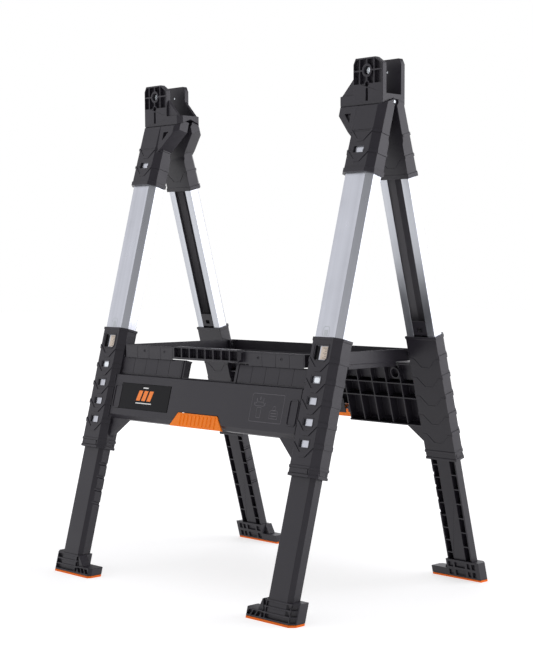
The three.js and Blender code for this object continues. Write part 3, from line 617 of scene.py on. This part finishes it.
def inner_band(half, n, t, drop, height):
    """A thin raised line across the flat inner face of a leg, with a hanging middle."""
    bpy.ops.object.select_all(action="DESELECT")
    shoulder = INNER_LINE_FLAT + drop
    bpy.ops.mesh.primitive_plane_add(size=1, rotation=(math.pi / 2, 0, 0))
    item = bpy.context.active_object
    run = half - INNER_LINE_INSET - shoulder
    item.scale = (run * MM, height * MM, 1)
    item.location = ((-half + INNER_LINE_INSET + run / 2) * MM, -n * MM, -(t - height / 2) * MM)
    settle(item)
    edge_x = -shoulder * MM
    enter(item, "EDGE", lambda edge: all(abs(point.x - edge_x) < NEAR for point in ends_of(item, edge)))
    for step in ((drop, 0, -drop), (2 * INNER_LINE_FLAT, 0, 0), (drop, 0, drop), (run, 0, 0)):
        bpy.ops.mesh.extrude_edges_move(TRANSFORM_OT_translate={"value": tuple(v * MM for v in step)})
    leave()
    modify(item, "SOLIDIFY", thickness=0.0012, offset=0)
    enter(item, "FACE", lambda part: True)
    bpy.ops.mesh.normals_make_consistent(inside=False)
    leave()
    soften(item, 0.0003, 2)
    return item


class SAWHORSE_OT_head_bands(bpy.types.Operator):
    """Wraps the two stepped bands round each leg head"""

    bl_idname = "sawhorse.head_bands"
    bl_label = "Head bands"

    def execute(self, context):
        height = sizes().band_height / MM
        proud = sizes().band_proud / MM
        drop = sizes().band_drop / MM
        for tier, t in enumerate(HEAD_BANDS):
            out = HEAD_OUT_TOP + (HEAD_OUT - HEAD_OUT_TOP) * t / HEAD_BOTTOM
            inner = 2.0 if t < HEAD_SPLIT else SLEEVE_IN
            section = (HEAD_W / 2, inner, out, HEAD_CHAMFER)
            outside = band("band", *section, t, drop, BAND_FLAT, height * 0.6, proud)
            thickened(outside, sizes().band_proud, sizes().band_edge)
            for end in ENDS:
                for side in SIDES:
                    x = local_side(end, side) * LEG_X / MM
                    item = copies(outside, [(x, 0, 0)], f"head_band_{tier + 1}_{end}_{side}")
                    lean(item, end)
                    fit(item, f"{end}_upper", "plastic")
            remove(outside)
        inside = inner_band(HEAD_W / 2, SLEEVE_IN, HEAD_BANDS[1], drop, INNER_LINE_H)
        for end in ENDS:
            for side in SIDES:
                x = local_side(end, side) * LEG_X / MM
                item = copies(inside, [(x, 0, 0)], f"head_line_{end}_{side}")
                lean(item, end)
                fit(item, f"{end}_upper", "plastic")
        remove(inside)
        return {"FINISHED"}


def outline(name, x, t, n, corners, line, proud, segments=3):
    """A raised outline on an outer face: a sheet with cut or rounded corners, inset, opened and thickened.

    corners gives, for each of the upper and lower pairs, how far the corner is cut.
    """
    bpy.ops.object.select_all(action="DESELECT")
    centre = ((x[0] + x[1]) / 2 * MM, -n * MM, -(t[0] + t[1]) / 2 * MM)
    extent = ((x[1] - x[0]) * MM, (t[1] - t[0]) * MM, 1)
    bpy.ops.mesh.primitive_plane_add(size=1, rotation=(math.pi / 2, 0, 0), location=centre)
    item = bpy.context.active_object
    item.name = name
    item.scale = extent
    settle(item)
    split = centre[2]
    for cut, above in zip(corners, (True, False)):
        if not cut:
            continue
        reach = abs(t[1] - t[0]) / 2 * MM - NEAR
        enter(item, "VERT", lambda v: (v.co.z - split > reach) if above else (split - v.co.z > reach))
        bpy.ops.mesh.bevel(offset=cut * MM, affect="VERTICES", segments=segments)
        leave()
    enter(item, "FACE", lambda part: True)
    bpy.ops.mesh.inset(thickness=line)
    bpy.ops.mesh.delete(type="FACE")
    leave()
    modify(item, "SOLIDIFY", thickness=proud, offset=0, use_even_offset=True)
    enter(item, "FACE", lambda part: True)
    bpy.ops.mesh.normals_make_consistent(inside=False)
    leave()
    soften(item, min(line, proud) * 0.22, 2, clamp=True)
    return item


class SAWHORSE_OT_window_frames(bpy.types.Operator):
    """Adds the raised frame round each upper window and the low rims round the adjustment holes"""

    bl_idname = "sawhorse.window_frames"
    bl_label = "Window frames"

    def execute(self, context):
        line = sizes().line_width
        window = self.rim("window", (WINDOW_W, WINDOW_H), WINDOW_MARGIN, WINDOW_T, (2.5, 8), line, 0.0014, 1)
        rim = self.rim("rim", (HOLE_W, HOLE_H), HOLE_MARGIN, HOLE_FIRST, (3, 3), line * 0.6, 0.0009)
        for end in ENDS:
            for side in SIDES:
                x = local_side(end, side) * LEG_X / MM
                big = copies(window, [(x, 0, 0)])
                small = copies(rim, [(x, 0, -HOLE_PITCH * i) for i in range(HOLE_COUNT)])
                item = joined(f"window_frames_{end}_{side}", big, small)
                lean(item, end)
                fit(item, f"{end}_frame", "plastic")
        remove(window, rim)
        return {"FINISHED"}

    def rim(self, name, opening, margin, t, *finish):
        """An outline round an opening of the given width and height, with its middle at t."""
        half_w = opening[0] / 2 + margin
        half_h = opening[1] / 2 + margin
        return outline(name, (-half_w, half_w), (t - half_h, t + half_h), SLEEVE_OUT, *finish)


class SAWHORSE_OT_panel_lugs(bpy.types.Operator):
    """Adds the upright rounded loops and the seams at both ends of the panel"""

    bl_idname = "sawhorse.panel_lugs"
    bl_label = "Panel lugs"

    def execute(self, context):
        at = SLEEVE_INNER_X - LUG_HALF - LUG_GAP
        seam_n = (PANEL_OUT - 2, PANEL_OUT + 1)
        seam_t = (PANEL_TOP + 1, PANEL_BOTTOM - 1)
        for end in ENDS:
            loops = []
            for s in (-1, 1):
                x = (s * at - LUG_HALF, s * at + LUG_HALF)
                loops.append(outline("loop", x, LUG_T, PANEL_OUT, (6, 6), 0.0026, 0.0030, 4))
            for s in (-1, 1):
                seam = block("seam", sorted((s * SEAM_X, s * (SEAM_X + SEAM_W))), seam_n, seam_t)
                soften(seam, 0.0006, 2)
                loops.append(seam)
            item = joined(f"panel_lugs_{end}", *loops)
            lean(item, end)
            fit(item, f"{end}_frame", "plastic")
        return {"FINISHED"}


def tiles(name, spans, n, t, proud, seam):
    """A row of thin overlapping tiles with soft edges; spans are (from, to, count) along x."""
    made_tiles = []
    for low, high, count in spans:
        pitch = (high - low) / count
        blank = block("tile", (low + seam / 2, low + pitch - seam / 2), (n - 0.6, n + proud), t)
        enter(blank, "VERT", lambda v: v.co.y < -n * MM and v.co.x > (low + pitch / 2) * MM)
        bpy.ops.transform.translate(value=(0, proud * 0.6 * MM, 0))
        leave()
        soften(blank, 0.00035, 2)
        made_tiles.append(copies(blank, [(pitch * i, 0, 0) for i in range(count)]))
        remove(blank)
    return joined(name, *made_tiles)


class SAWHORSE_OT_apron_tiles(bpy.types.Operator):
    """Lays the row of upright tiles on the upper step of both aprons"""

    bl_idname = "sawhorse.apron_tiles"
    bl_label = "Apron tiles"

    def execute(self, context):
        proud = sizes().tile_proud / MM
        seam = sizes().seam / MM
        edge = SLEEVE_INNER_X - 0.5
        spans = [(-edge, -HAND_HALF - 10, 5), (HAND_HALF + 10, edge, 5)]
        for end in ENDS:
            item = tiles(f"apron_tiles_{end}", spans, TIER_OUT, (TIER_TOP + 1.5, PANEL_TOP - 5), proud, seam)
            lean(item, end)
            fit(item, f"{end}_frame", "plastic")
        return {"FINISHED"}


class SAWHORSE_OT_hand_frames(bpy.types.Operator):
    """Adds the bevelled rims at both ends of the hand windows"""

    bl_idname = "sawhorse.hand_frames"
    bl_label = "Hand window rims"

    def execute(self, context):
        for end in ENDS:
            rims = []
            for s in (-1, 1):
                x = sorted((s * (HAND_HALF + 0.2), s * (HAND_HALF + 9)))
                blank = block("rim", x, (2, TIER_OUT + 1.6), (TIER_TOP + 0.5, PANEL_TOP - 4))
                enter(blank, "VERT", lambda v: v.co.x * s < (HAND_HALF + 1) * MM and v.co.y < -TIER_OUT * MM)
                bpy.ops.transform.translate(value=(s * 5 * MM, 0, 0))
                leave()
                soften(blank, 0.0006, 2)
                rims.append(blank)
            item = joined(f"hand_window_rims_{end}", *rims)
            lean(item, end)
            fit(item, f"{end}_frame", "plastic")
        return {"FINISHED"}


class SAWHORSE_OT_tray_trim(bpy.types.Operator):
    """Adds the tiles and the screw dimples of the tray's front wall, and ribs on its floor"""

    bl_idname = "sawhorse.tray_trim"
    bl_label = "Tray trim"

    def execute(self, context):
        proud = sizes().tile_proud / MM
        seam = sizes().seam / MM
        low, high = -TRAY_Z - TRAY_H + 2.5, -TRAY_Z + 2.6
        spans = [(-TRAY_HALF_X + 2, -GRILLE_HALF - 14, 4), (GRILLE_HALF + 14, TRAY_HALF_X - 2, 4)]
        item = tiles("tray_tiles", spans, TRAY_FRONT, (low, high), proud, seam)
        fit(item, "tray", "plastic")
        dimple = self.dimple()
        places = [s * (GRILLE_HALF + d) for s in (-1, 1) for d in (40, 104)]
        dots = copies(dimple, [(x, 0, 0) for x in places], "tray_dimples")
        remove(dimple)
        fit(dots, "tray", "plastic")
        ribs = block("ribs", (-TRAY_HALF_X + 6, TRAY_HALF_X - 6), (-0.6, 0.6), (-TRAY_Z - 4.2, -TRAY_Z - 2.6))
        soften(ribs, 0.0003, 2)
        lines = copies(ribs, [(0, y, 0) for y in range(-120, 121, 30)], "tray_floor_ribs")
        remove(ribs)
        fit(lines, "tray", "plastic")
        return {"FINISHED"}

    def dimple(self):
        bpy.ops.object.select_all(action="DESELECT")
        place = (0, -(TRAY_FRONT + 0.6) * MM, (TRAY_Z + TRAY_H * 0.55) * MM)
        bpy.ops.mesh.primitive_cylinder_add(
            vertices=20, radius=2.6 * MM, depth=1.6 * MM, location=place, rotation=(math.pi / 2, 0, 0)
        )
        item = bpy.context.active_object
        settle(item)
        enter(item, "FACE", lambda face: face.normal.y < -0.9)
        bpy.ops.mesh.inset(thickness=0.8 * MM)
        bpy.ops.mesh.extrude_region_move(TRANSFORM_OT_translate={"value": (0, 1.1 * MM, 0)})
        leave()
        soften(item, 0.0002, 2)
        return item


class SAWHORSE_OT_latches(bpy.types.Operator):
    """Finishes both latches: the rounded plate, its grip ribs, its end caps and the backing behind it"""

    bl_idname = "sawhorse.latches"
    bl_label = "Latches"

    def execute(self, context):
        rib_n = (LATCH_N - 1.2, LATCH_N + 1.3)
        rib_t = (LATCH_T - 1.5, PANEL_BOTTOM - 1)
        cap_t = (LATCH_T - 2, PANEL_BOTTOM + 1)
        half = LATCH_BACKING_HALF
        start = -LATCH_PITCH * (LATCH_RIBS - 1) / 2
        cap_x = LATCH_PITCH * LATCH_RIBS / 2 + 5.5
        for end in ENDS:
            refined(f"latch_{end}", "orange", sizes().edge_round, 3)
            backing = block("backing", (-half, half), (6.0, 8.0), (LATCH_T - 24, LATCH_T + 8))
            soften(backing, 0.0005, 2)
            fit(leaned(backing, f"latch_backing_{end}", end), f"{end}_frame", "plastic")
            blank = block("rib", (-3.3, 3.3), rib_n, rib_t)
            soften(blank, 0.0011, 3)
            ribs = copies(blank, [(start + LATCH_PITCH * i, 0, 0) for i in range(LATCH_RIBS)])
            cap = block("cap", (-4.2, 4.2), rib_n, cap_t)
            soften(cap, 0.0010, 3)
            caps = copies(cap, [(s * cap_x, 0, 0) for s in (-1, 1)])
            item = joined(f"latch_grip_{end}", ribs, caps)
            remove(blank, cap)
            lean(item, end)
            fit(item, f"latch_{end}", "orange")
        return {"FINISHED"}


class SAWHORSE_OT_labels(bpy.types.Operator):
    """Finishes the label plates and prints plain slanted bars and a rule on them"""

    bl_idname = "sawhorse.labels"
    bl_label = "Labels"

    def execute(self, context):
        face = PANEL_OUT + 0.7
        for end in ENDS:
            refined(f"label_plate_{end}", "label", 0.0002)
            bars = []
            for i in range(3):
                x = LABEL_X / MM - 25 + 17 * i
                bars.append(self.slanted(x, face, 12, LABEL_T - 13, LABEL_T + 8))
            prints = joined(f"label_bars_{end}", *bars)
            lean(prints, end)
            fit(prints, f"{end}_frame", "orange_print")
            rule = self.slanted(LABEL_X / MM - 25, face, 50, LABEL_T + 12, LABEL_T + 14)
            dash = self.slanted(LABEL_X / MM - 8, face, 16, LABEL_T - 20, LABEL_T - 17.5)
            line = joined(f"label_rule_{end}", rule, dash)
            lean(line, end)
            fit(line, f"{end}_frame", "white_print")
        return {"FINISHED"}

    def slanted(self, x, face, width, top, bottom):
        item = block("bar", (x, x + width), (face - 0.25, face + 0.12), (top, bottom))
        shift = (bottom - top) * 0.3
        enter(item, "VERT", lambda v: v.co.z > -(top + bottom) / 2 * MM)
        bpy.ops.transform.translate(value=(shift * MM, 0, 0))
        leave()
        soften(item, 0.00008, 1)
        return item


class SAWHORSE_OT_pictograms(bpy.types.Operator):
    """Raises a framed field with two plain pictograms, a lift arrow and a weight, on the panel"""

    bl_idname = "sawhorse.pictograms"
    bl_label = "Pictograms"

    def execute(self, context):
        face = PANEL_OUT
        line = 0.0007
        for end in ENDS:
            field = outline("field", (147, 234), (560, 614), face, (3, 3), line, 0.0005)
            post = outline("post", (164, 176), (586, 606), face, (1, 1), line, 0.0006, 1)
            roof = outline("roof", (158, 182), (576, 584), face, (3.4, 0), line, 0.0006, 1)
            rays = [
                block("ray", (169.4 + dx, 170.6 + dx), (face - 0.3, face + 0.3), (t, t + 6))
                for dx, t in ((-14, 577), (14, 577), (0, 566), (-9, 569), (9, 569))
            ]
            weight = outline("weight", (200, 222), (590, 606), face, (3, 0), line, 0.0006, 1)
            grip = outline("grip", (207, 215), (582, 590), face, (3, 0), line, 0.0006, 2)
            slabs = [
                block("slab", (203, 219), (face - 0.3, face + 0.3), (t, t + 1.0)) for t in (595, 600)
            ]
            for item in rays + slabs:
                soften(item, 0.0001, 1)
            item = joined(f"pictograms_{end}", field, post, roof, weight, grip, *rays, *slabs)
            lean(item, end)
            fit(item, f"{end}_frame", "mark")
        return {"FINISHED"}


class SAWHORSE_OT_scales(bpy.types.Operator):
    """Sticks a height scale with plain tick marks on each tube, and beside it a black patch of painted shade
    at the end of the upper window
    """

    bl_idname = "sawhorse.scales"
    bl_label = "Height scales"

    def execute(self, context):
        film = TUBE_OUT + 0.04
        under = film - 0.02
        for end in ENDS:
            for side in SIDES:
                x = local_side(end, side) * LEG_X / MM
                strip = block("strip", (x - 3, x + 13), (under, film + 0.08), (WINDOW_T - 12, WINDOW_T + 12))
                enter(strip, "FACE", lambda face: face.normal.y < -0.9)
                bpy.ops.mesh.inset(thickness=0.0006)
                leave()
                fit(leaned(strip, f"scale_film_{end}_{side}", end), f"{end}_upper", "scale")
                ticks_and_shade = []
                for i in range(SCALE_TICKS):
                    t = WINDOW_T + SCALE_PITCH * (i - SCALE_TICKS // 2)
                    reach = 9 if i % 3 == 0 else 5
                    across = (x + 11 - reach, x + 11)
                    ticks_and_shade.append(block("tick", across, (film, film + 0.12), (t - 0.35, t + 0.35)))
                # A black patch in the label's black: painted shade where the tube's hole wall lies in shadow
                # at the window's end
                shade_patch_t = (WINDOW_T - 12.5, WINDOW_T + 12.5)
                ticks_and_shade.append(block("painted_shade_patch", (x - 15, x - 6), (under, film + 0.1), shade_patch_t))
                marks = joined("ticks_and_shade", *ticks_and_shade)
                soften(marks, 0.00003, 1)
                fit(leaned(marks, f"scale_ticks_{end}_{side}", end), f"{end}_upper", "label")
        return {"FINISHED"}


def leaned(item, name, end):
    item.name = name
    lean(item, end)
    return item


class SAWHORSE_OT_tube_tabs(bpy.types.Operator):
    """Puts a dark sheet of painted shade in each tube's channel and marks the round-topped tab just above its
    sleeve
    """

    bl_idname = "sawhorse.tube_tabs"
    bl_label = "Tube tabs"

    def execute(self, context):
        for end in ENDS:
            for side in SIDES:
                x = local_side(end, side) * LEG_X / MM
                tab_x = (x - TAB_HALF, x + TAB_HALF)
                loop = outline("tab", tab_x, TAB_T, TUBE_OUT, (7, 0), 0.0016, 0.0002, 5)
                # A dark sheet of painted shade where the channel's aluminium lies in shadow, in the marking
                # grey
                painted_shade_sheet = leaned(self.painted_shade_sheet(x), f"channel_painted_shade_{end}_{side}", end)
                fit(painted_shade_sheet, f"{end}_upper", "mark")
                tongue_x = (x - TONGUE_HALF, x + TONGUE_HALF)
                inner = block("tongue", tongue_x, (TUBE_OUT - 0.4, TUBE_OUT + 0.18), (TONGUE_TOP, TAB_T[1]))
                soften(inner, 0.00008, 1)
                item = joined(f"tube_tab_{end}_{side}", loop, inner)
                lean(item, end)
                fit(item, f"{end}_upper", "steel")
        return {"FINISHED"}

    def painted_shade_sheet(self, x):
        """A thin dark shell against the inner walls of a tube's channel: painted shade, standing for the
        channel's aluminium in shadow.
        """
        far = TUBE_OUT - 1.8
        item = block("painted_shade_sheet", (x - SHADE_SHEET_HALF, x + SHADE_SHEET_HALF), (SHADE_SHEET_IN, far), SHADE_SHEET_T)

        def outer_edge(edge):
            low, high = ends_of(item, edge)
            return max(low.y, high.y) < -(far - 1) * MM and abs(low.z - high.z) > 0.1

        enter(item, "EDGE", outer_edge)
        bpy.ops.mesh.bevel(offset=SHADE_SHEET_CORNER * MM, segments=1)
        leave()
        enter(item, "FACE", lambda face: face.normal.y > 0.9 or abs(face.normal.z) > 0.9)
        bpy.ops.mesh.delete(type="FACE")
        leave()
        modify(item, "SOLIDIFY", thickness=0.0005, offset=-1)
        return item


class SAWHORSE_OT_sleeve_bases(bpy.types.Operator):
    """Adds the recessed rectangles round the bottom band of each sleeve"""

    bl_idname = "sawhorse.sleeve_bases"
    bl_label = "Sleeve bases"

    def execute(self, context):
        for end in ENDS:
            for side in SIDES:
                x = local_side(end, side) * LEG_X / MM
                half = SLEEVE_W / 2
                rims = []
                for s in (-1, 1):
                    near = x + s * half
                    blank = block("rim", sorted((near - s * 0.4, near + s * 0.8)), BASE_N, BASE_T)
                    enter(blank, "FACE", lambda face: face.normal.x * s > 0.9)
                    bpy.ops.mesh.inset(thickness=0.0012)
                    bpy.ops.mesh.extrude_region_move(TRANSFORM_OT_translate={"value": (-s * 0.7 * MM, 0, 0)})
                    leave()
                    soften(blank, 0.0002, 2)
                    rims.append(blank)
                item = joined(f"sleeve_base_{end}_{side}", *rims)
                lean(item, end)
                fit(item, f"{end}_frame", "plastic")
        return {"FINISHED"}


class SAWHORSE_OT_inner_details(bpy.types.Operator):
    """Adds the round bosses on the inner side of both aprons"""

    bl_idname = "sawhorse.inner_details"
    bl_label = "Inner apron details"

    def execute(self, context):
        for end in ENDS:
            parts = []
            for s in (-1, 1):
                bpy.ops.object.select_all(action="DESELECT")
                bpy.ops.mesh.primitive_cylinder_add(
                    vertices=40,
                    radius=BOSS_R * MM,
                    depth=BOSS_H * MM,
                    location=(s * BOSS_X * MM, -BOSS_N * MM, -BOSS_T * MM),
                    rotation=(math.pi / 2, 0, 0),
                )
                ring = bpy.context.active_object
                settle(ring)
                enter(ring, "FACE", lambda face: face.normal.y > 0.9)
                bpy.ops.mesh.inset(thickness=BOSS_WALL * MM)
                bpy.ops.mesh.extrude_region_move(TRANSFORM_OT_translate={"value": (0, -BOSS_DEPTH * MM, 0)})
                leave()
                soften(ring, 0.0004, 2)
                parts.append(ring)
            item = joined(f"apron_bosses_{end}", *parts)
            lean(item, end)
            fit(item, f"{end}_frame", "plastic")
        return {"FINISHED"}


class SAWHORSE_OT_stage(bpy.types.Operator):
    """Sets the pale floor, which glows as painted light, the soft studio lights and the camera"""

    bl_idname = "sawhorse.stage"
    bl_label = "Studio"

    def execute(self, context):
        scene = context.scene
        bpy.ops.object.select_all(action="DESELECT")
        bpy.ops.mesh.primitive_plane_add(size=30, location=(0, 0, 0))
        floor = context.active_object
        floor.name = "floor"
        nodes = Nodes("studio floor")
        nodes.link(nodes.mix(nodes.noise(nodes.place(), 2), (0.49, 0.49, 0.49), (0.52, 0.52, 0.52)),
                   nodes.shader.inputs["Base Color"])
        nodes.shader.inputs["Roughness"].default_value = 0.9
        nodes.shader.inputs["Emission Color"].default_value = (1, 1, 1, 1)
        # The floor glows, weaker near the middle and stronger far out: painted light that whitens the far
        # floor and leaves soft contact shadows near the feet
        reach = nodes.add("ShaderNodeVectorMath", operation="LENGTH")
        nodes.link(nodes.place(), reach.inputs[0])
        glow = nodes.spread(reach.outputs["Value"], 0.66, 0.92, 0.6, 2.4)
        nodes.link(glow, nodes.shader.inputs["Emission Strength"])
        floor.data.materials.append(nodes.material)
        world = bpy.data.worlds.new("studio")
        world.use_nodes = True
        background = world.node_tree.nodes["Background"]
        path = world.node_tree.nodes.new("ShaderNodeLightPath")
        room = world.node_tree.nodes.new("ShaderNodeMapRange")
        room.inputs["To Min"].default_value = 0.25
        room.inputs["To Max"].default_value = 1.0
        world.node_tree.links.new(path.outputs["Is Camera Ray"], room.inputs["Value"])
        world.node_tree.links.new(room.outputs["Result"], background.inputs["Strength"])
        background.inputs["Color"].default_value = (1, 1, 1, 1)
        scene.world = world
        target = Vector((0, 0, 0.5))
        lamps = (
            ("key", (-3.2, -2.8, 1.9), 4.0, 50),
            ("side", (3.4, 2.6, 1.3), 4.0, 150),
            ("fill", (3.6, -3.4, 0.9), 3.6, 22),
            ("top", (0.1, -0.3, 3.6), 3.4, 46),
            ("back", (-2.2, 3.4, 2.0), 3.0, 30),
        )
        for name, place, width, power in lamps:
            data = bpy.data.lights.new(name, "AREA")
            data.color = (0.96, 0.95, 1.0)
            data.shape = "SQUARE"
            data.size = width
            data.energy = power
            lamp = bpy.data.objects.new(name, data)
            lamp.location = place
            lamp.rotation_euler = (target - Vector(place)).to_track_quat("-Z", "Y").to_euler()
            scene.collection.objects.link(lamp)
        data = bpy.data.cameras.new("camera")
        data.lens = 79.96
        data.shift_x = -0.112
        data.shift_y = 0.151
        camera = bpy.data.objects.new("camera", data)
        camera.location = (2.174, -2.021, 0.631)
        yaw, pitch = math.radians(44.2), math.radians(-6.35)
        camera.rotation_euler = (math.pi / 2 + pitch, 0, yaw)
        scene.collection.objects.link(camera)
        scene.camera = camera
        scene.view_settings.view_transform = "Standard"
        return {"FINISHED"}


class SAWHORSE_PT_panel(bpy.types.Panel):
    bl_label = "Folding sawhorse"
    bl_idname = "SAWHORSE_PT_panel"
    bl_space_type = "VIEW_3D"
    bl_region_type = "UI"
    bl_category = "Sawhorse"

    def draw(self, context):
        for group in (sizes(), colours()):
            for name in group.__annotations__:
                self.layout.prop(group, name)
        for operator in OPERATORS:
            self.layout.operator(operator.bl_idname)


OPERATORS = (
    SAWHORSE_OT_mouldings,
    SAWHORSE_OT_metal,
    SAWHORSE_OT_foot_pads,
    SAWHORSE_OT_sleeve_bands,
    SAWHORSE_OT_head_bands,
    SAWHORSE_OT_window_frames,
    SAWHORSE_OT_panel_lugs,
    SAWHORSE_OT_apron_tiles,
    SAWHORSE_OT_hand_frames,
    SAWHORSE_OT_tray_trim,
    SAWHORSE_OT_latches,
    SAWHORSE_OT_labels,
    SAWHORSE_OT_pictograms,
    SAWHORSE_OT_scales,
    SAWHORSE_OT_tube_tabs,
    SAWHORSE_OT_sleeve_bases,
    SAWHORSE_OT_inner_details,
    SAWHORSE_OT_stage,
)
CLASSES = (SawhorseSizes, SawhorseColours, *OPERATORS, SAWHORSE_PT_panel)


def register():
    for item in CLASSES:
        bpy.utils.register_class(item)
    bpy.types.Scene.sawhorse_sizes = PointerProperty(type=SawhorseSizes)
    bpy.types.Scene.sawhorse_colours = PointerProperty(type=SawhorseColours)


def unregister():
    del bpy.types.Scene.sawhorse_sizes
    del bpy.types.Scene.sawhorse_colours
    for item in reversed(CLASSES):
        bpy.utils.unregister_class(item)


def main():
    register()
    for operator in OPERATORS:
        group, name = operator.bl_idname.split(".")
        getattr(getattr(bpy.ops, group), name)()


if __name__ == "__main__":
    main()
